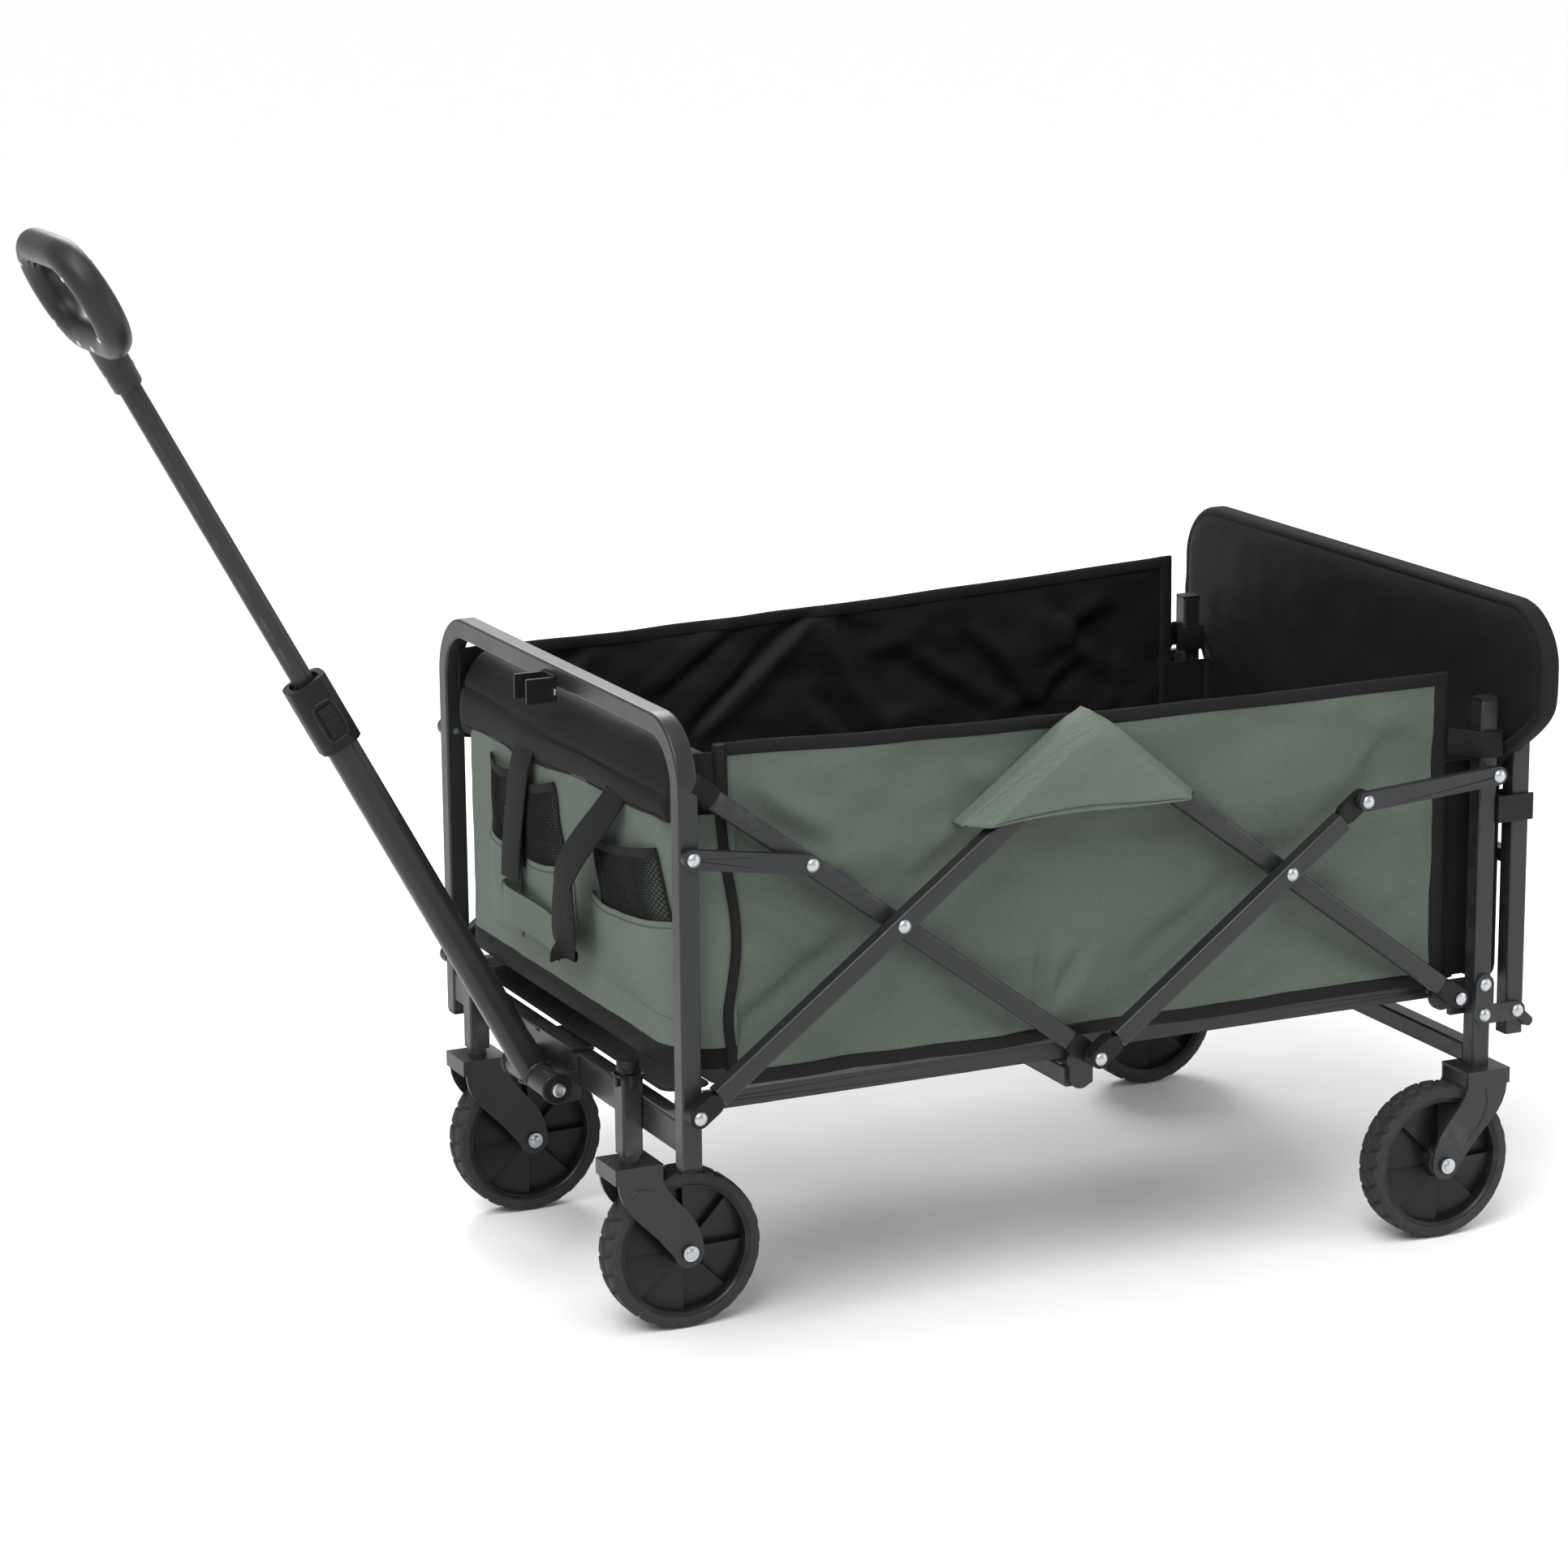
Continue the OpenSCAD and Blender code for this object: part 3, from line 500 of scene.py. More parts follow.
# the metal and plastic nodes that stay: welded, with softened edges
finishOf = {"frame_steel": powderCoat, "black_plastic": blackNylon, "rivet_steel": zincSteel,
            "tyre_rubber": treadRubber, "grip_rubber": gripRubber, "sage_fabric": sageCanvas,
            "black_fabric": blackCanvas}
soften = {"tube": 2.0, "other": 0.7, "segments": 3, "sharper": 40, "weld": 0.02}
tubes = ("front_hoop", "front_crossbeam", "caster_housings", "rear_posts", "gate_frame", "front_outer_arms",
         "front_inner_arms", "rear_inner_arms", "rear_outer_arms")
for part in frame["record"]["subparts"]:
    cadPart = frame["nodes"][part["node"]]
    cadPart.data.materials.clear()
    cadPart.data.materials.append(finishOf[part["material_slot"]])
    if part["material_slot"] in ("frame_steel", "black_plastic"):
        seams = cadPart.modifiers.new("weld", "WELD")
        seams.merge_threshold = soften["weld"] * mm
        bevel = cadPart.modifiers.new("softEdges", "BEVEL")
        bevel.width = soften["tube" if part["node"] in tubes else "other"] * mm
        bevel.segments = soften["segments"]
        bevel.limit_method = "ANGLE"
        bevel.angle_limit = radians(soften["sharper"])
        bevel.harden_normals = True
print("CAD parts finished")

# fabric side walls

# the cloth stays between |y| inner and limit, and cornerTape is where the binding at the corner stands
wall = {"front": -357, "rear": 392, "bottom": 242, "height": 306, "level": 260, "inner": 254.5, "limit": 266.5,
        "thick": 2.4, "columns": 190, "rows": 64, "flat": (0.749, 0.306)}
tape = {"top": 13, "topInset": 5.5, "bottom": 14, "bottomInset": 6, "rear": 15, "rearInset": 6, "thick": 5.4,
        "front": 10, "frontInset": 4, "frontThick": 6, "frontY": 263.6}
wallTop = {"left": (557, 546), "right": (547, 570)}  # height of the rim, front and rear
# soft ridges pressed into the cloth: x and z of both ends, height, width
creases = [
    (-330, 520, -235, 455, 3.6, 16), (-300, 470, -210, 410, 3.0, 14), (-345, 420, -250, 350, 2.2, 13),
    (-205, 372, -370, 262, 3.4, 12), (-180, 420, -60, 500, 3.2, 13), (-120, 505, -20, 470, 2.5, 16),
    (-25, 345, -35, 250, 3.0, 9), (25, 330, -25, 262, 2.6, 11), (-120, 320, -40, 268, 2.4, 12),
    (180, 372, 60, 290, 3.0, 12), (215, 405, 330, 500, 3.0, 18), (220, 360, 380, 262, 3.0, 14),
    (300, 520, 395, 480, 2.5, 20), (120, 470, 185, 405, 2.2, 15), (-310, 300, -190, 262, 2.0, 14),
    (110, 265, 220, 300, 2.0, 12), (350, 420, 390, 330, 2.0, 16),
]
liningCreases = [  # only on the right wall, whose lining faces the open side
    (-3, 560, 151, 430, -7, 9), (-3, 560, -70, 430, 6, 16), (90, 545, 200, 470, 5, 12),
    (-160, 520, -250, 420, -5, 12), (-240, 540, -330, 470, 4, 14), (20, 470, -40, 400, 4, 12),
    (250, 540, 330, 440, -4, 14),
]


def creaseAt(x, z, flip):
    total = 0
    for x0, z0, x1, z1, high, wide in creases + (liningCreases if flip else []):
        if flip:
            x0, x1 = -x0, -x1
        dx, dz = x1 - x0, z1 - z0
        along = ((x - x0) * dx + (z - z0) * dz) / (dx * dx + dz * dz)
        off = ((x - x0) * dz - (z - z0) * dx) / hypot(dx, dz)
        taper = max(0, 1 - (2 * along - 1) ** 2) if 0 < along < 1 else 0
        hollow = exp(-((off - 1.3 * wide) / (0.8 * wide)) ** 2)  # beside the ridge
        ridge = exp(-sqrt(off * off + 9) / (0.75 * wide)) - 0.9 * hollow
        total += high * ridge * taper ** 0.6
    return total


def frontSway(z):  # the front edge of a side wall is not straight
    return -7 + 15 * exp(-((z - 380) / 70) ** 2) + 9 * smooth(320, 261, z)


def wallShape(side):
    flip = side == "right"
    out = 1 if flip else -1
    topFront, topRear = wallTop[side]

    def shape(u, v):
        share = u / (wall["rear"] - wall["front"])
        top = topFront + (topRear - topFront) * share - 4 * sin(pi * share) + 1.5 * ruffle(u, 0, 7, 90)
        bottom = wall["bottom"] + 2.2 * sin(pi * share * 3) ** 2 + 1.5 * ruffle(u, 5, 0, 60)
        z = bottom + (top - bottom) * v / wall["height"]
        x = wall["front"] + u + frontSway(z) * (1 - smooth(0, 70, u))
        edge = smooth(0, 30, z - bottom) * smooth(0, 26, top - z)  # flat along the bindings
        edge *= smooth(0, 20, u) * smooth(-3, 25, wall["rear"] - x)
        swell = creaseAt(x, z, flip) * 2.1 + 6.5 * ruffle(x, 0 if flip else 300, z, 105)
        swell += 3.0 * ruffle(x, 90 if flip else 20, z * 1.6, 42)
        room = wall["limit"] - (wall["level"] + edge * swell)
        y = wall["limit"] - (room + sqrt(room * room + 3)) / 2
        y = wall["inner"] + (y - wall["inner"] + sqrt((y - wall["inner"]) ** 2 + 3)) / 2
        y -= 2.0 * smooth(bottom + 18, bottom, z)
        y += 2.0 * smooth(top - 40, top, z) * sin(pi * share)
        y += 1.2 * ruffle(x, 60, 0, 70) * smooth(top - 60, top, z)
        return spot(x, out * y, z)
    return shape


def fixToFold(obj):
    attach(obj, "front_frame")
    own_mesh(obj)


def wallBinding(shape, name, us, vs, wide):
    # folded tape over one edge of the wall; us, vs trace its middle line
    level, step = len(set(vs)) == 1, 2.0
    path = [shape(u, v) for u, v in zip(us, vs)]
    if level:
        across = [shape(u, v + step) - shape(u, v - step) for u, v in zip(us, vs)]
    else:
        across = [shape(u + step, v) - shape(u - step, v) for u, v in zip(us, vs)]
    return sweep(name, path, across, ringOf(wide, tape["thick"]), [blackWebbing])


for side, out in (("left", -1), ("right", 1)):
    shape = wallShape(side)
    length = wall["rear"] - wall["front"]
    us, vs = steps(0, length, wall["columns"]), steps(0, wall["height"], 60)
    panel = sheetOf(f"sideWall_{side}", us, steps(0, wall["height"], wall["rows"]), shape, wall["thick"],
                    [sageCanvas, blackCanvas], lambda u, v, face, outer=-out: 0 if face == outer else 1)
    along = us[::2]
    topLine = wall["height"] - tape["topInset"]
    topTape = wallBinding(shape, "tapeTop", along, [topLine] * len(along), tape["top"])
    bottomTape = wallBinding(shape, "tapeBottom", along, [tape["bottomInset"]] * len(along), tape["bottom"])
    corner = [shape(tape["frontInset"], v) for v in vs]
    frontTape = sweep("tapeFront", [Vector((p.x, out * tape["frontY"] * mm, p.z)) for p in corner],
                      Vector((1, 0, 0)), ringOf(tape["front"], tape["frontThick"]), [blackWebbing])
    rearTape = wallBinding(shape, "tapeRear", [length - tape["rearInset"]] * len(vs), vs, tape["rear"])
    binding = joined(f"wallBinding_{side}", [topTape, bottomTape, frontTape, rearTape])
    for piece, slotName in ((panel, "sage_fabric"), (binding, "black_fabric")):
        fixToFold(piece)
    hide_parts(f"side_wall_{side}")
print("side walls sewn")

# front wall: one sheet round both front corners
front = {"x": -402, "y": 261.5, "corner": 50, "sideEnd": -345, "bottom": 262, "top": 486, "band": 19,
         "thick": 2.4}
cornerStart = front["x"] + front["corner"]
arcRun = front["corner"] * pi / 2
straightHalf = front["y"] - front["corner"]
endRun = straightHalf + arcRun + front["sideEnd"] - cornerStart


def frontPlan(u):  # u from the middle, along the wall, mm
    side, run = (1 if u >= 0 else -1), abs(u)
    if run <= straightHalf:
        return front["x"], side * run
    angle = min((run - straightHalf) / front["corner"], pi / 2)
    rest = max(0, run - straightHalf - arcRun)
    return (front["x"] + front["corner"] * (1 - cos(angle)) + rest,
            side * (straightHalf + front["corner"] * sin(angle)))


def frontShape(u, v):
    x, y = frontPlan(u)
    z = front["bottom"] + v - 9 * y / 260 * smooth(150, 240, v)
    inward = smooth(0, 30, v) * smooth(0, 20, front["top"] - front["bottom"] - v)
    dent = 2.2 * ruffle(y, 40, z, 70) + 1.2 * ruffle(y, 80, z, 28)
    flat = smooth(straightHalf + 40, straightHalf - 30, abs(u))
    x += inward * (dent * (0.4 + 0.6 * flat)) + 1.5 * inward * flat
    roll = smooth(front["band"], front["band"] - 10, v) * smooth(-6, 8, v)
    x -= 2.5 * roll * flat
    return spot(x, y, z)


def frontPick(u, v, face):
    if v < front["band"]:
        return 1
    return 0 if face == -1 else 1


us = [-u for u in reversed(steps(0, endRun, 100)[1:])] + steps(0, endRun, 100)
vs = steps(0, front["band"], 6) + steps(front["band"], front["top"] - front["bottom"], 50)[1:]
frontPanel = sheetOf("frontWall", us, vs, frontShape, front["thick"], [sageLight, blackCanvas], frontPick)
fixToFold(frontPanel)
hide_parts("front_wall")


def onFront(y, z, lift):
    x = frontShape(y, min(z, front["top"] - 16) - front["bottom"]).x
    return Vector((x - lift * mm, y * mm, z * mm))


pouchFacts = {"columns": 22, "rows": 18, "thick": 1.8, "dip": 3.0, "lift": 1.8}
netFacts = {"cell": 5.2, "dip": 4.0, "lift": 3.0, "thread": 1.5}


def pouchFace(name, corners, bulge):
    # cloth sewn to the front wall at low-left, low-right, top-right, top-left corners, each a (y, z)
    lowLeft, lowRight, topRight, topLeft = [Vector(c) for c in corners]
    width, height = (lowRight - lowLeft).length, (topLeft - lowLeft).length

    def shape(u, v):
        s, t = u / width, v / height
        flat = (lowLeft * (1 - s) + lowRight * s) * (1 - t) + (topLeft * (1 - s) + topRight * s) * t
        dip = pouchFacts["dip"] * sin(pi * s) * t
        out = bulge * (sin(pi * s) ** 0.7) * (sin(pi * min(0.5, t * 0.62)) ** 0.8)
        out += 0.8 * ruffle(flat.x, 11, flat.y, 18) * sin(pi * s)
        return onFront(flat.x, flat.y - dip, pouchFacts["lift"] + out)

    us, vs = steps(0, width, pouchFacts["columns"]), steps(0, height, pouchFacts["rows"])
    return sheetOf(name, us, vs, shape, pouchFacts["thick"], [sageLight]), shape, width, height


def netFace(name, corners, bulge):
    lowLeft, lowRight, topRight, topLeft = [Vector(c) for c in corners]
    width, height = (lowRight - lowLeft).length, (topLeft - lowLeft).length
    nu, nv = max(4, round(width / netFacts["cell"])), max(3, round(height / netFacts["cell"]))
    points, faces, cuts = [], [], []

    def shape(s, t):
        flat = (lowLeft * (1 - s) + lowRight * s) * (1 - t) + (topLeft * (1 - s) + topRight * s) * t
        out = bulge * (sin(pi * s) ** 0.7) * (0.75 + 0.25 * sin(pi * t))
        return onFront(flat.x, flat.y - netFacts["dip"] * sin(pi * s) * t, netFacts["lift"] + out)

    for j in range(2 * nv + 1):
        for i in range(nu + 1):
            shift = 0.5 * (j % 2)
            s = min(1, max(0, (i + shift - 0.25) / nu))
            points.append(shape(s, j / (2 * nv)))
            cuts.append((s * width * mm, j / (2 * nv) * height * mm))
    row = nu + 1
    for j in range(2 * nv - 1):
        for i in range(nu):
            if j % 2 == 0:
                ring = (j * row + i + 1, (j + 1) * row + i, (j + 2) * row + i + 1, (j + 1) * row + i + 1)
            else:
                ring = (j * row + i, (j + 1) * row + i, (j + 2) * row + i, (j + 1) * row + i + 1)
            if max(ring) < len(points):
                faces.append(ring)
    net = makeObject(name, points, faces, [netThread], None, cuts)
    wire = net.modifiers.new("threads", "WIREFRAME")
    wire.thickness = netFacts["thread"] * mm
    wire.use_even_offset = False
    applyModifiers(net)
    return net, shape


pockets = {  # corners of each net and pouch as (y, z)
    "near": {"net": [(-106, 368), (-243, 386), (-224, 456), (-78, 436)],
             "pouch": [(-96, 312), (-244, 308), (-248, 397), (-72, 386)], "bulge": 13},
    "middle": {"net": [(85, 372), (-20, 390), (9, 466), (92, 452)],
               "pouch": [(84, 330), (-40, 334), (-24, 397), (80, 384)], "bulge": 8},
    "far": {"net": [(170, 388), (100, 386), (108, 456), (168, 462)],
            "pouch": [(172, 300), (96, 300), (98, 390), (172, 396)], "bulge": 11},
}
for key, pocket in pockets.items():
    pouch, pouchShape, pouchWide, pouchHigh = pouchFace(f"pouch_{key}", pocket["pouch"], pocket["bulge"])
    net, netShape = netFace(f"net_{key}", pocket["net"], pocket["bulge"] * 0.75)
    hemPath = [netShape(s, 1.0) for s in steps(0, 1, 24)]
    hem = sweep(f"netHem_{key}", hemPath, Vector((0, 0, 1)), ringOf(9, 2.4), [blackWebbing])
    sides = [sweep(f"netEdge_{key}{k}", [netShape(s, t) for t in steps(0, 1, 12)], Vector((0, 1, 0)),
                   ringOf(4, 2.2), [blackWebbing]) for k, s in enumerate((0.0, 1.0))]
    hem = joined(f"netHem_{key}", [hem] + sides)
    seamPath = [pouchShape(s * pouchWide, pouchHigh - 5) - Vector((1.1 * mm, 0, 0)) for s in steps(0, 1, 30)]
    seam = sweep(f"pouchSeam_{key}", seamPath, Vector((0, 0, 1)), circle(0.45, 6), [darkThread])
    for piece in (pouch, net, hem, seam):
        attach(piece, "front_frame")
    if key == "near":
        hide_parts("front_pockets")
print("front wall and pockets sewn")


def strap(name, knots, across, width, thick, material, body, flat=None):
    path = curve([spot(*k) for k in knots], 8)
    length = sum((b - a).length for a, b in zip(path, path[1:]))
    piece = sweep(name, path, across, ringOf(width, thick), [material])
    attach(piece, body)
    return piece


alongY = Vector((0, 1, 0))
strap("carryStrap_far", [(-404, 76, 492), (-411, 78, 470), (-414, 84, 430), (-416, 90, 390), (-418, 88, 362)],
      alongY, 44, 1.8, blackWebbing, "front_frame")
strap("carryStrap_near", [(-404, -138, 492), (-414, -128, 470), (-425, -98, 435), (-429, -72, 405),
                          (-428, -62, 382), (-426, -52, 352), (-421, -42, 328), (-416, -44, 322)],
      Vector((0, 1, 0.25)), 38, 1.8, blackWebbing, "front_frame")
strap("carryLoop", [(-424, -60, 398), (-431, -84, 378), (-431, -84, 350), (-426, -62, 326), (-420, -44, 318)],
      Vector((0, 1, -0.4)), 26, 1.6, blackWebbing, "front_frame")
strap("carryBand", [(-405, 118, 340), (-415, 112, 335), (-422, 80, 337), (-416, 28, 333), (-413.5, 0, 329),
                    (-415, -20, 326), (-421, -32, 325)],
      Vector((0, 0, 1)), 34, 2.2, sageLight, "front_frame")

# padded sleeve round the front cross bar
barMid = middle("front_sleeve")
barX, barZ = (barMid.x - midX) / mm, barMid.z / mm
sleeve = {"half": 257, "rows": 90, "ring": 44, "round": 0.19, "stitchHalf": 236, "stitches": (0.045, 0.93),
          "section": [(-31, -27), (-35.5, -16), (-34, -2), (-28, 13), (-20, 27), (-7, 37),
                      (7, 34), (14, 18), (13, -4), (6, -14), (-5, -16), (-19, -24)]}


def sleevePoint(s, y):
    knots = sleeve["section"]
    n = len(knots)
    position = (s % 1) * n
    i, t = int(position) % n, position % 1
    a, b, c, d = [Vector(knots[(i + k) % n]) for k in (-1, 0, 1, 2)]
    p = between(a, b, c, d, t)
    end = smooth(sleeve["half"], sleeve["half"] - 14, abs(y))
    swell = 1 - 0.25 * (1 - end) + 0.07 * ruffle(y, s * 60, 0, 120) + 0.03 * ruffle(y, s * 40, 30, 50)
    hang = 1.2 + 0.35 * y / sleeve["half"] if p.y < -2 else 1
    drop = -2.5 * cos(pi * y / (2 * sleeve["half"])) if p.y > 0 else 0
    tuck = 2.6 * exp(-((p.y * swell - 2 - 0.012 * y) / 2.6) ** 2) if p.x < -10 else 0
    return spot(barX + p.x * swell + tuck, y, barZ + p.y * swell * hang + drop)


rows, around = sleeve["rows"], sleeve["ring"]
points, cuts, faces = [], [], []
for y in steps(-sleeve["half"], sleeve["half"], rows):
    for k in range(around):
        points.append(sleevePoint(k / around, y))
        cuts.append((y * mm, k / around * sleeve["round"]))
for j in range(rows):
    for k in range(around):
        m = (k + 1) % around
        faces.append((j * around + k, j * around + m, (j + 1) * around + m, (j + 1) * around + k))
faces.append(tuple(reversed(range(around))))
faces.append(tuple(rows * around + k for k in range(around)))
sleevePad = makeObject("barSleeve", points, faces, [blackCanvas], None, cuts)
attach(sleevePad, "front_inner_arm_pair")
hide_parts("front_sleeve")
for row, share in enumerate(sleeve["stitches"]):
    stitchPath = [sleevePoint(share, y) - Vector((0.5 * mm, 0, 0))
                  for y in steps(-sleeve["stitchHalf"], sleeve["stitchHalf"], 60)]
    stitch = sweep(f"sleeveStitch{row}", stitchPath, Vector((0, 0, 1)), circle(0.5, 6), [netThread])
    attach(stitch, "front_inner_arm_pair")

# cloth behind the hoop corner, and wrapped round the end of the inner arm
gusset = {"long": 48, "high": 46, "x": -400, "y": 256.5, "low": 508, "top": 549, "thick": 2.0}
armWrap = {"x": -385.4, "y": 278.5, "z": 522.05, "wide": 19.6, "high": 23, "taper": 0.72}
for side, out in (("left", -1), ("right", 1)):
    def gussetShape(u, v, out=out):
        share = u / gusset["long"]
        low, high = gusset["low"] - 8 * share, gusset["top"] + 2 * share
        bow = 2.5 * sin(pi * v / gusset["high"]) * sin(pi * share) + 1.4 * ruffle(u, 31, v, 20)
        z = low + (high - low) * v / gusset["high"]
        return spot(gusset["x"] + u, out * (gusset["y"] + 6.5 * share + bow), z)
    cloth = sheetOf(f"cornerGusset_{side}", steps(0, gusset["long"], 20), steps(0, gusset["high"], 20),
                    gussetShape, gusset["thick"], [blackCanvas])
    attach(cloth, "front_inner_arm_pair")
    wrapPath = [spot(armWrap["x"] + 0.8 * t, out * armWrap["y"], armWrap["z"] - 0.6 * t)
                for t in steps(-12, 14, 12)]
    wrap = sweep(f"armEndWrap_{side}", wrapPath, Vector((0, 1, 0)),
                 ringOf(armWrap["wide"], armWrap["high"], 4), [blackCanvas],
                 vary=lambda s, t: (armWrap["taper"] if s < 0.04 else 1) + 0.02 * sin(9 * s + 12 * t))
    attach(wrap, "front_inner_arm_pair")
print("sleeve padded")

# flaps over the top joints
flap = {"apexX": -3, "apexZ": {"left": 560, "right": 551}, "cornerFront": (-133, 462.5),
        "cornerRear": (106, 467), "out": 307.5, "edge": 284, "wall": 265, "thick": 1.6, "sag": 4,
        "pivotZ": 533, "flat": (0.262, 0.11), "area": 0.021}


def flapShape(side):
    out = 1 if side == "right" else -1

    def shape(u, v):  # u 0..1 front to rear; v below 0 stands off the wall, then 0..1 down to the hem
        standing, v = min(0, v), max(0, v)
        ax, az = flap["apexX"], flap["apexZ"][side]
        fx, fz = flap["cornerFront"]
        rx, rz = flap["cornerRear"]
        if u < 0.5:
            s = u * 2
            ex, ez = fx + (ax - fx) * s, fz + (az - fz) * s
        else:
            s = (u - 0.5) * 2
            ex, ez = ax + (rx - ax) * s, az + (rz - az) * s
        rounded = 5 * exp(-((u - 0.5) / 0.06) ** 2)
        ez -= rounded
        hx = fx + (rx - fx) * u
        hz = fz + (rz - fz) * u + flap["sag"] * sin(pi * u) + 1.5 * sin(7 * u)
        x, z = ex + (hx - ex) * v, ez + (hz - ez) * v
        depth = hypot(x - ex, z - ez)
        lift = smooth(-3, 15, depth)
        knob = 3.5 * exp(-((x / 22) ** 2 + ((z - flap["pivotZ"]) / 22) ** 2))  # the rivet underneath
        fold = 1.6 * ruffle(x, 0, z, 26) + 2.2 * exp(-((x - 22 + (z - 480) * 0.2) / 7) ** 2)
        stand = (flap["out"] - flap["edge"]) * lift * smooth(-0.03, 0.07, min(u, 1 - u))
        y = flap["edge"] + stand + fold * sin(pi * v) + knob * lift
        y += (flap["wall"] - flap["edge"]) * standing / -0.1
        return spot(x, out * y, z)
    return shape


for side, out in (("left", -1), ("right", 1)):
    shape, proud = flapShape(side), Vector((0, 1.2 * out * mm, 0))
    us, vs = steps(0, 1, 90), steps(-0.1, 0, 5)[:-1] + steps(0, 1, 34)
    body = sheetOf(f"jointFlap_{side}", us, vs, shape, flap["thick"], [sageLight, blackCanvas],
                   lambda u, v, face, keep=out: 0 if face in (keep, 0) else 1, 180)
    for loop, uv in zip(body.data.loops, body.data.uv_layers["flatCut"].data):
        place = body.data.vertices[loop.vertex_index].co
        uv.uv = (place.x, place.z + abs(place.y))
    hemRow = sweep("hemRow", [shape(u, 0.94) + proud for u in us[3:-3]], Vector((0, 0, 1)), circle(0.45, 6),
                   [darkThread])
    hemFold = sweep("hemFold", [shape(u, 0.985) for u in us[2:-2]], Vector((0, 0, 1)), ringOf(3, 3.0),
                    [sageLight])
    edgeRow = sweep("edgeRow", [shape(u, 0.1) + proud for u in us[5:44]], Vector((0, 0, 1)), circle(0.45, 6),
                    [darkThread])
    hem = joined(f"flapHem_{side}", [hemRow, hemFold, edgeRow])
    for piece in (body, hem):
        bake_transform(piece)
print("flaps draped")

# black cloth between the walls and the rear posts, with straps round the posts
rearStrip = {"x": 385, "y": 255.3, "z": 248, "wide": 53, "high": 210, "thick": 2.0, "edge": 10,
             "edgeThick": 4.4}
for side, out in (("left", -1), ("right", 1)):
    def rearShape(u, v, out=out):
        z = rearStrip["z"] + v
        bend = 0.9 * ruffle(u, 5, z, 40) * sin(pi * u / 56)
        return spot(rearStrip["x"] + u, out * (rearStrip["y"] + bend), z)
    rearCloth = sheetOf(f"rearCloth_{side}", steps(0, rearStrip["wide"], 14), steps(0, rearStrip["high"], 44),
                        rearShape, rearStrip["thick"], [blackCanvas])
    edgePath = [rearShape(rearStrip["wide"] - 2, v) for v in steps(2, rearStrip["high"] - 2, 44)]
    edge = sweep(f"rearClothEdge_{side}", edgePath, Vector((1, 0, 0)),
                 ringOf(rearStrip["edge"], rearStrip["edgeThick"]), [blackWebbing])
    for piece in (rearCloth, edge):
        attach(piece, "rear_frame")
    strap(f"postStrap_{side}", [(392, out * 265.5, 481), (402, out * 275, 480.5), (411, out * 288.5, 480),
                                (416, out * 291.5, 480), (432, out * 291.5, 479), (436.5, out * 288, 479),
                                (437, out * 270, 479), (434, out * 266.4, 479), (424, out * 264.6, 479),
                                (404, out * 263.4, 480)],
          Vector((0, 0, 1)), 25, 1.7, blackWebbing, "rear_frame")
print("rear cloth sewn")

# padded tailgate panel
gate = {"x": 445, "bottom": 244, "top": 612, "inner": 261.5, "outer": 331, "radius": 56, "foot": 12,
        "lean": 16, "rim": 1.6, "flatFill": 4.2, "tubeFill": 8.2, "columns": 110}


def gateHalf(z):
    grown = gate["inner"] + (gate["outer"] - gate["inner"]) * smooth(438, 522, z)
    down = gate["top"] - z
    if down < gate["radius"]:
        grown -= gate["radius"] - sqrt(max(0, gate["radius"] ** 2 - (gate["radius"] - down) ** 2))
    up = z - gate["bottom"]
    if up < gate["foot"]:
        grown -= gate["foot"] - sqrt(max(0, gate["foot"] ** 2 - (gate["foot"] - up) ** 2))
    return grown


def gateRowHeights():
    heights = [gate["bottom"] + gate["foot"] * (1 - cos(pi / 2 * k / 6)) for k in range(6)]
    heights += steps(gate["bottom"] + gate["foot"], gate["top"] - gate["radius"], 70)[:-1]
    heights += [gate["top"] - gate["radius"] + gate["radius"] * sin(pi / 2 * k / 22) for k in range(23)]
    return heights


def gateBack(z):  # the upper half is a padded cover round the tube, further back
    return gate["lean"] * smooth(425, 540, z)


def gateShape(u, v):
    y = u / gate["outer"] * gateHalf(v)
    return spot(gate["x"] + gateBack(v), y, v)


def gatePuff(u, v, side):
    y = abs(u / gate["outer"]) * gateHalf(v)
    inset = min(gateHalf(v) - y, v - gate["bottom"], gate["top"] - v)
    if v > gate["top"] - gate["radius"]:
        centreY = gateHalf(gate["top"] - gate["radius"]) - gate["radius"]
        if y > centreY:
            inset = gate["radius"] - hypot(y - centreY, v - gate["top"] + gate["radius"])
    full = gate["flatFill"] + gate["tubeFill"] * smooth(430, 545, v)
    full = gate["rim"] + full * (1 - exp(-max(0, inset) / 7))
    wrinkle = 1.6 * ruffle(u, 3 if side > 0 else 50, v, 60) + 0.9 * ruffle(u, 9, v, 26)
    wrinkle += 0.4 * exp(-((inset - 16) / 5) ** 2) * ruffle(u, 77, v, 14)
    grow = full + wrinkle * smooth(2, 20, inset)
    return grow if side > 0 else -grow


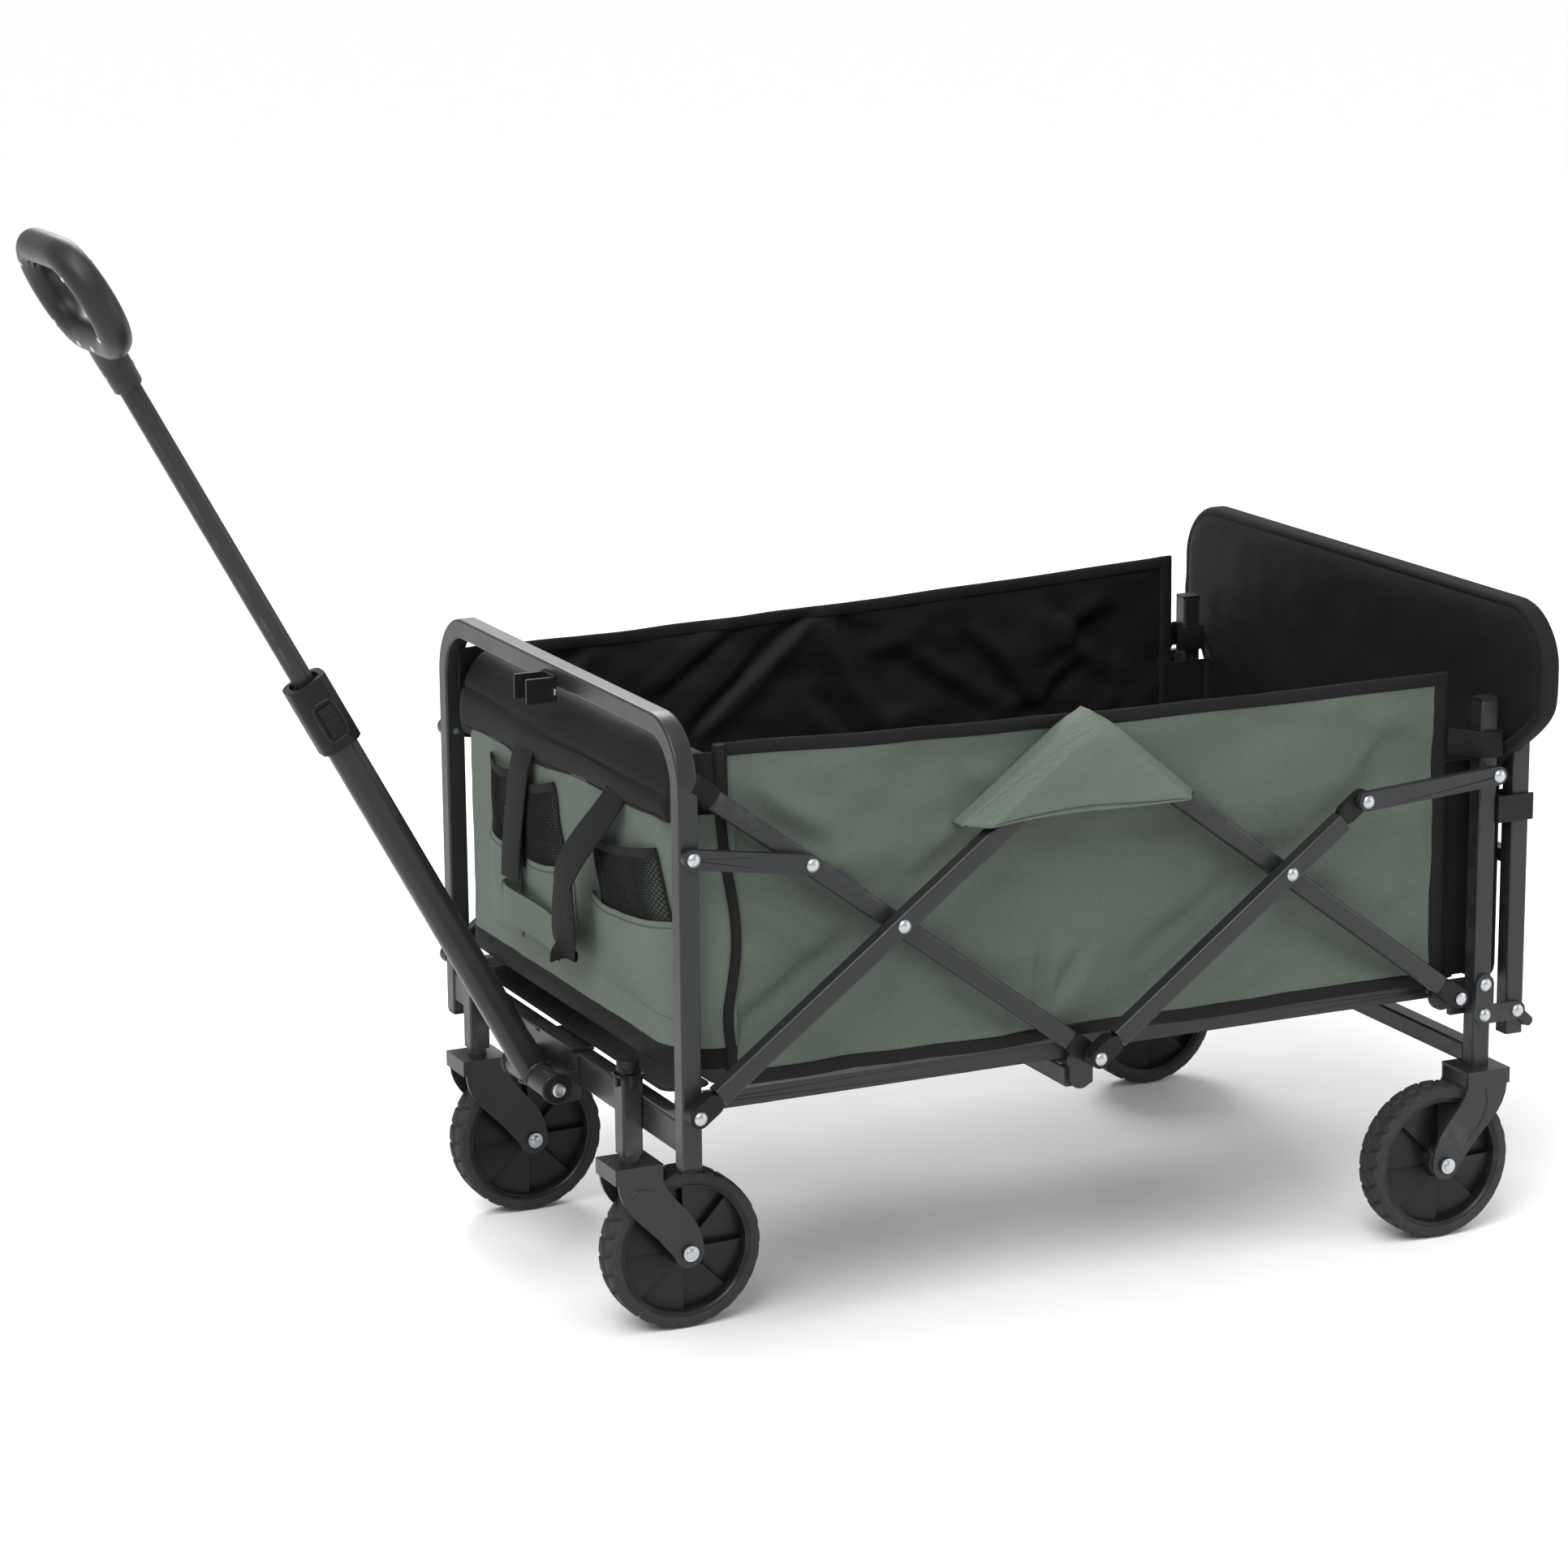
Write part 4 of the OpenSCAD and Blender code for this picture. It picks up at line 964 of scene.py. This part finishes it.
us = steps(-gate["outer"], gate["outer"], gate["columns"])
gatePad = sheetOf("tailgatePad", us, gateRowHeights(), gateShape, 1, [blackCanvas], None, 60, gatePuff)
outline = [(gateHalf(z), z) for z in gateRowHeights()]
outline += [(-y, z) for y, z in reversed(outline)]
pipingPath = [spot(gate["x"] + gateBack(z), y * 0.988, z - 4 * smooth(540, 600, z)) for y, z in outline]
piping = sweep("tailgateBinding", pipingPath, Vector((1, 0, 0)), ringOf(20, 11, 4), [blackWebbing],
               closed=True)
stitchLine = [(y * (1 - 14 / max(60, abs(y))), 428 + (z - 428) * 0.93) for y, z in outline]
innerRow = sweep("tailgateStitch", [spot(gate["x"] + gateBack(z) - 5.4 - 4.6 * smooth(430, 545, z), y, z)
                                    for y, z in stitchLine],
                 Vector((0, 0, 1)), circle(0.5, 6), [netThread], closed=True)
for piece in (gatePad, piping, innerRow):
    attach(piece, "tailgate")
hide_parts("gate_panel")
print("tailgate padded")

# floor boards in cloth
boards = {"front_floor_edge": "front_frame", "floor_front": "front_floor", "floor_centre": "centre_foot",
          "floor_rear": "rear_floor", "rear_floor_edge": "rear_frame"}


def roundCorner(s, t, halfW, halfL, r):
    x, y = s * halfW, t * halfL
    dx, dy = abs(x) - (halfW - r), abs(y) - (halfL - r)
    if dx > 0 and dy > 0:
        shrink = max(dx, dy) / hypot(dx, dy)
        x = (halfW - r + dx * shrink) * (1 if x > 0 else -1)
        y = (halfL - r + dy * shrink) * (1 if y > 0 else -1)
    return x, y


def edgeSteps(n):  # denser near both ends, from -1 to 1
    return [sin(pi / 2 * s) for s in steps(-1, 1, n)]


for node, body in boards.items():
    low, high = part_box(node)
    centre, halfW, halfL = (low + high) / 2, (high.x - low.x) / 2 / mm, (high.y - low.y) / 2 / mm
    radius = min(14, halfW * 0.6)

    def boardShape(u, v):
        x, y = roundCorner(u / halfW, v / halfL, halfW, halfL, radius)
        return centre + Vector((x * mm, y * mm, 0))

    def boardPuff(u, v, side):
        inset = min(halfW - abs(u), halfL - abs(v))
        grow = 0.5 + 1.9 * (1 - exp(-inset / 4))
        if side > 0:
            grow += (0.5 * ruffle(u, v, 0, 30) - 0.7 * exp(-((inset - 8) / 1.6) ** 2)) * smooth(0, 6, inset)
        return grow * (1 if side > 0 else -1)

    us, vs = [s * halfW for s in edgeSteps(46)], [t * halfL for t in edgeSteps(110)]
    board = sheetOf(f"floorBoard_{node}", us, vs, boardShape, 1, [blackCanvas], None, 60, boardPuff)
    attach(board, body)
    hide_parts(node)
print("floor boards covered")

# wheels
tread = {"radius": 75, "half": 16, "inner": 64.05, "blocks": 26, "around": 312, "across": 18, "deep": 2.3}
wheels = {key: f"wheel_{key}" for key in ("front_left", "front_right", "rear_left", "rear_right")}


def makeTyre(name, centre):
    radius, half, inner = tread["radius"], tread["half"], tread["inner"]
    lug = 2 * pi / tread["blocks"]
    section = [(inner, -half + 1), (inner + 1.2, -half), (radius - 5, -half), (radius - 2.2, -half + 0.6)]
    ys = steps(-half + 2.6, half - 2.6, tread["across"])
    points, faces, cuts = [], [], []
    for k in range(tread["around"]):
        angle = 2 * pi * k / tread["around"]
        ring = []
        notch = 0.9 * smooth(0.32, 0.5, abs((angle / lug) % 1 - 0.5) * 2 - 0.1)
        for r, y in section:
            ring.append((r - (notch if r > radius - 4 else 0), y))
        for y in ys:
            skew = 0.5 * abs(y) / half + 0.12 * sin(2 * pi * angle / lug)
            phase = (angle / lug + skew + (0.5 if y > 0 else 0)) % 1
            groove = smooth(0.16, 0.08, min(phase, 1 - phase))
            zigzag = 1.6 * sin(2 * pi * angle / lug)
            groove = max(groove, smooth(1.9, 0.9, abs(y - zigzag)))
            crown = 1.1 * (abs(y) / half) ** 2.4
            ring.append((radius - crown - tread["deep"] * groove, y))
        for r, y in reversed(section):
            ring.append((r - (notch if r > radius - 4 else 0), -y))
        for r, y in ring:
            points.append(centre + Vector((cos(angle) * r * mm, y * mm, sin(angle) * r * mm)))
            cuts.append((angle * radius * mm, y * mm))
        size = len(ring)
    for k in range(tread["around"]):
        nextK = (k + 1) % tread["around"]
        for n in range(size):
            m = (n + 1) % size
            faces.append((k * size + n, k * size + m, nextK * size + m, nextK * size + n))
    return makeObject(name, points, faces, [treadRubber], None, cuts, 30)


rimFacts = {"blades": 8, "fan": 8, "low": 2.6, "twist": 6.0, "outerDrop": 1.5,
            "rings": [(13.8, 13.5), (14.2, 12), (16, None), (34, None), (59.8, None), (60.6, 12.6),
                      (62.4, 14.4), (63.9, 14.6)],  # radius and height, None on the slanted blades
            "band": [(63.95, -13), (63.95, 13), (59.9, 13), (59.9, -13), (63.95, -13)],
            "hub": [(4.1, 17), (9, 17), (10.5, 16.6), (13.6, 13.8), (14.6, 8)]}


def makeRim(name, centre):
    blades, fan = rimFacts["blades"], rimFacts["fan"]
    count = blades * (fan + 1)
    points, faces = [], []
    for side in (-1, 1):
        base = len(points)
        for r, h in rimFacts["rings"]:
            for b in range(blades):
                for f in range(fan + 1):
                    angle = 2 * pi * (b + f / fan) / blades * -side
                    step = rimFacts["low"] + rimFacts["twist"] * f / fan if h is None else h
                    if h is None and r > 50:
                        step -= rimFacts["outerDrop"]
                    points.append(centre + Vector((cos(angle) * r, side * step, sin(angle) * r)) * mm)
        for j in range(len(rimFacts["rings"]) - 1):
            for k in range(count):
                a, b = base + j * count + k, base + j * count + (k + 1) % count
                faces.append((a + count, b + count, b, a))
    cuts = [(p.x, p.z) for p in points]
    rim = makeObject(name, points, faces, [wheelPlastic], None, cuts, 22, solid=False)
    axle = Vector((0, 1, 0))
    band = turned("band", rimFacts["band"], centre, axle, [wheelPlastic], 96)
    hubs = [turned("hub", [(r, side * h) for r, h in rimFacts["hub"]], centre, axle, [wheelPlastic], 40)
            for side in (-1, 1)]
    return joined(name, [rim, band] + hubs)


for key, body in wheels.items():
    centre = middle(f"rim_{key}")
    tyre = makeTyre(f"tyreTread_{key}", centre)
    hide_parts(f"tyre_{key}")
    rim = makeRim(f"wheelRim_{key}", centre)
    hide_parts(f"rim_{key}")
    for piece in (tyre, rim):
        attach(piece, body)
print("wheels made")

# rivet domes
dome = [(0.01, 3.5), (2.4, 3.25), (4.4, 2.5), (5.7, 1.3), (6.3, 0), (6.3, -0.9)]
rivets = {  # x, z and |y| of the heads on each body
    "front_frame": [(-400, 233, 304.5), (-400, 465, 296.5)],
    "front_outer_arm_pair": [(-200, 383, 304.5), (0, 533, 304.5)],
    "front_inner_arm_pair": [(0, 233, 304.5)],
    "rear_inner_arm_pair": [(200, 383, 304.5)],
    "front_link_pair": [(-285.6, 447.2, 296.5)],
    "rear_link_pair": [(280, 443, 305.5)],
    "rear_frame": [(424, 452, 305.5), (424, 215, 291.7), (424, 245, 291.7), (461, 215, 291.7)],
}
for body, heads in rivets.items():
    made = []
    for x, z, y in heads:
        for out in (-1, 1):
            place = spot(x, out * (y + 0.2), z)
            made.append(turned("dome", dome, place, Vector((0, out, 0)), [zincSteel], 28))
    piece = joined(f"rivetDomes_{body}", made)
    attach(piece, body)
axleEnd = 25.9
axleCap = [(0.01, 3.4), (3.2, 3.3), (4.6, 2.6), (4.9, 1.5), (7.4, 1.3), (7.6, 0), (7.6, -1)]
for key in wheels:
    centre = middle(f"rim_{key}")
    body = "rear_frame" if key.startswith("rear") else f"caster_{key.split('_')[1]}"
    ends = [Vector((0, out * axleEnd * mm, 0)) for out in (-1, 1)]
    made = [turned("cap", axleCap, centre + end, end, [zincSteel], 28) for end in ends]
    piece = joined(f"axleCaps_{key}", made)
    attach(piece, body)
print("rivets set")

caps = {"x": -418, "y": 186, "crown": 20.5, "tab": 8, "tabThick": 3.4, "tabOut": 11.6}
made = []
for out in (-1, 1):
    for dx, dy in ((1, 0), (-1, 0), (0, 1), (0, -1)):
        tabX, tabY = caps["x"] + dx * caps["tabOut"], out * caps["y"] + dy * caps["tabOut"]
        made.append(sweep("capTab", [spot(tabX, tabY, z) for z in (234.5, 235.5, 245, 246)],
                          Vector((0, 1, 0)) if dx else Vector((1, 0, 0)),
                          ringOf(caps["tab"], caps["tabThick"]), [blackNylon],
                          vary=lambda s, t: 0.8 if s in (0, 1) else 1))
    made.append(sweep("capCrown", [spot(caps["x"], out * caps["y"], z) for z in (247, 248, 256.5, 258)],
                      Vector((1, 0, 0)), ringOf(caps["crown"], caps["crown"], 3), [blackNylon],
                      vary=lambda s, t: 0.9 if s == 1 else 1))
capTabs = joined("capTabs", made)
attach(capTabs, "front_frame")

# the rib pressed into each fork side, as x and z along it
forkRibs = {"rear_frame": {"y": 302, "path": [(421, 146), (423, 128), (414, 108), (400, 92), (393, 84)]},
            "caster": {"y": 209, "path": [(-427, 134), (-424, 139), (-414, 141), (-404, 138)]}}
for side, out in (("left", -1), ("right", 1)):
    for key, facts in forkRibs.items():
        ribPath = curve([spot(x, out * facts["y"], z) for x, z in facts["path"]], 8)
        rib = sweep(f"forkRib_{key}_{side}", ribPath, Vector((0, 1, 0)), circle(1.2, 8), [powderCoat],
                    vary=lambda s, t: 0.3 + 0.7 * sin(pi * s) ** 0.5)
        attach(rib, f"caster_{side}" if key == "caster" else key)

# handle
handle = {"lean": radians(28.5), "pivotX": -432, "pivotZ": 194.5}
pivot = spot(handle["pivotX"], 0, handle["pivotZ"])
upHandle = Vector((-sin(handle["lean"]), 0, cos(handle["lean"])))
foreHandle = Vector((-cos(handle["lean"]), 0, -sin(handle["lean"])))


def onHandle(fore, y, w):  # fore: away from the wagon, w: along the tube
    return pivot + (foreHandle * fore + Vector((0, y, 0)) + upHandle * w) * mm


grip = {"centre": 861.5, "bend": 45, "straight": 63, "section": 14.6, "ribs": 16, "points": 96,
        "neck": [(765.3, 12.2, 13.5), (767, 13.4, 14.6), (790, 14.0, 16), (797, 14.2, 19), (806, 14, 24),
                 (814, 13, 30)],  # along the tube, half depth, half width
        "screws": [(-63, 893), (63, 893), (-65, 832.5), (65, 832.5), (-20, 817), (20, 817), (0, 783)]}


def gripPath():
    path, inward = [], []
    half = grip["straight"] / 2
    for k in range(grip["points"]):
        angle = 2 * pi * k / grip["points"]
        y = grip["bend"] * cos(angle) + half * max(-1, min(1, 12 * cos(angle)))
        path.append(onHandle(0, y, grip["centre"] + grip["bend"] * sin(angle)))
        inward.append(Vector((0, -cos(angle), 0)) - upHandle * sin(angle))
    return path, inward


def gripVary(s, t):  # ribs along the inner face of the top bar
    top = exp(-(((s - 0.25) / 0.13) ** 6))
    inner = smooth(0.21, 0.17, min(t, 1 - t))
    return 1 - top * inner * 0.11 * (0.5 + 0.5 * cos(2 * pi * t * grip["ribs"]))


loopPath, inward = gripPath()
gripLoop = sweep("gripLoop", loopPath, inward, circle(grip["section"], 64), [gripRubber], closed=True,
                 vary=gripVary)
points, faces, around = [], [], 32
for w, halfFore, halfY in grip["neck"]:
    for k in range(around):
        angle = 2 * pi * k / around
        points.append(onHandle(halfFore * cos(angle), halfY * sin(angle), w))
rows = len(grip["neck"]) - 1
for j in range(rows):
    for k in range(around):
        m = (k + 1) % around
        faces.append((j * around + k, j * around + m, (j + 1) * around + m, (j + 1) * around + k))
faces += [tuple(reversed(range(around))), tuple(rows * around + k for k in range(around))]
gripNeck = makeObject("gripNeck", points, faces, [gripRubber], None, [(p.x, p.z) for p in points], 35)
loopGrip = joined("loopGrip", [gripLoop, gripNeck])
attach(loopGrip, "handle_inner")
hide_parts("handle_grip")
screwHead = [(0.01, 0.7), (2.4, 0.6), (3.1, 0), (3.1, -1.6)]
made = []
for y, w in grip["screws"]:
    for out in (-1, 1):
        place = onHandle(out * (14.5 if w > 800 else 13.9), y, w)
        made.append(turned("screw", screwHead, place, foreHandle * out, [zincSteel], 16))
gripScrews = joined("gripScrews", made)
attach(gripScrews, "handle_inner")

button = {"w": 412, "y": -17, "halfWide": 11, "halfLong": 19.5, "square": 0.45}
outline = []
for k in range(40):
    c, s = cos(2 * pi * k / 40), sin(2 * pi * k / 40)
    fore = (abs(c) ** button["square"]) * (1 if c > 0 else -1) * button["halfWide"]
    w = (abs(s) ** button["square"]) * (1 if s > 0 else -1) * button["halfLong"]
    outline.append(onHandle(fore, button["y"], button["w"] + w))
outlineRing = sweep("buttonOutline", outline, Vector((0, 1, 0)), circle(0.9, 8), [gripRubber], closed=True)
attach(outlineRing, "handle")

weld = {"fore": 15.4, "y": 12.4, "barrel": 13.2, "size": 1.7}  # where the tube meets its cross barrel
weldPath = []
for k in range(48):
    angle = 2 * pi * k / 48
    fore, y = weld["fore"] * cos(angle), weld["y"] * sin(angle)
    w = sqrt(max(0, weld["barrel"] ** 2 - min(13.0, abs(fore)) ** 2)) + 0.4
    weldPath.append(onHandle(fore, y, max(w, 3.0) + 0.5 * ruffle(k * 9, 0, 0, 10)))
weldBead = sweep("weldBead", weldPath, upHandle, circle(weld["size"], 8), [powderCoat], closed=True,
                 vary=lambda s, t: 1 + 0.22 * sin(2 * pi * s * 22))
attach(weldBead, "handle")

# turned profiles as radius and height, and |y| of their seat on the handle's pivot
pivotParts = {
    "pivotWashers": {"y": 51.6, "finish": blackNylon, "slot": "black_plastic", "steps": 36,
                     "profile": [(8.4, 1.4), (13.4, 1.2), (14.6, 0.2), (14.6, -3)]},
    "pivotBolts": {"y": 53.4, "finish": zincSteel, "slot": "rivet_steel", "steps": 30,
                   "profile": [(0.01, 2.2), (2.2, 2.2), (2.4, 4.2), (5.2, 4.2), (6.4, 3.4), (6.6, 0),
                               (6.6, -1)]},
}
for name, facts in pivotParts.items():
    made = [turned(name, facts["profile"], spot(handle["pivotX"], out * facts["y"], handle["pivotZ"]),
                   Vector((0, out, 0)), [facts["finish"]], facts["steps"]) for out in (-1, 1)]
    piece = joined(name, made)
    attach(piece, "front_frame")
clipScrew = turned("clipScrew", [(0.01, 0.9), (3.0, 0.9), (3.6, 0.3), (3.6, -1)], spot(-412.7, -16.5, 561),
                   Vector((-1, 0, 0)), [zincSteel], 24)
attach(clipScrew, "front_frame")
print("handle dressed")

# the pale floor that everything stands on
floorSpan = 45
floorCorners = [(x * floorSpan, y * floorSpan, 0) for x, y in ((-1, -1), (1, -1), (1, 1), (-1, 1))]
floorMesh = bpy.data.meshes.new("studioFloor")
floorMesh.from_pydata(floorCorners, [], [(0, 1, 2, 3)])
floorMesh.materials.append(paleFloor)
studioFloor = bpy.data.objects.new("studioFloor", floorMesh)
bpy.context.scene.collection.objects.link(studioFloor)
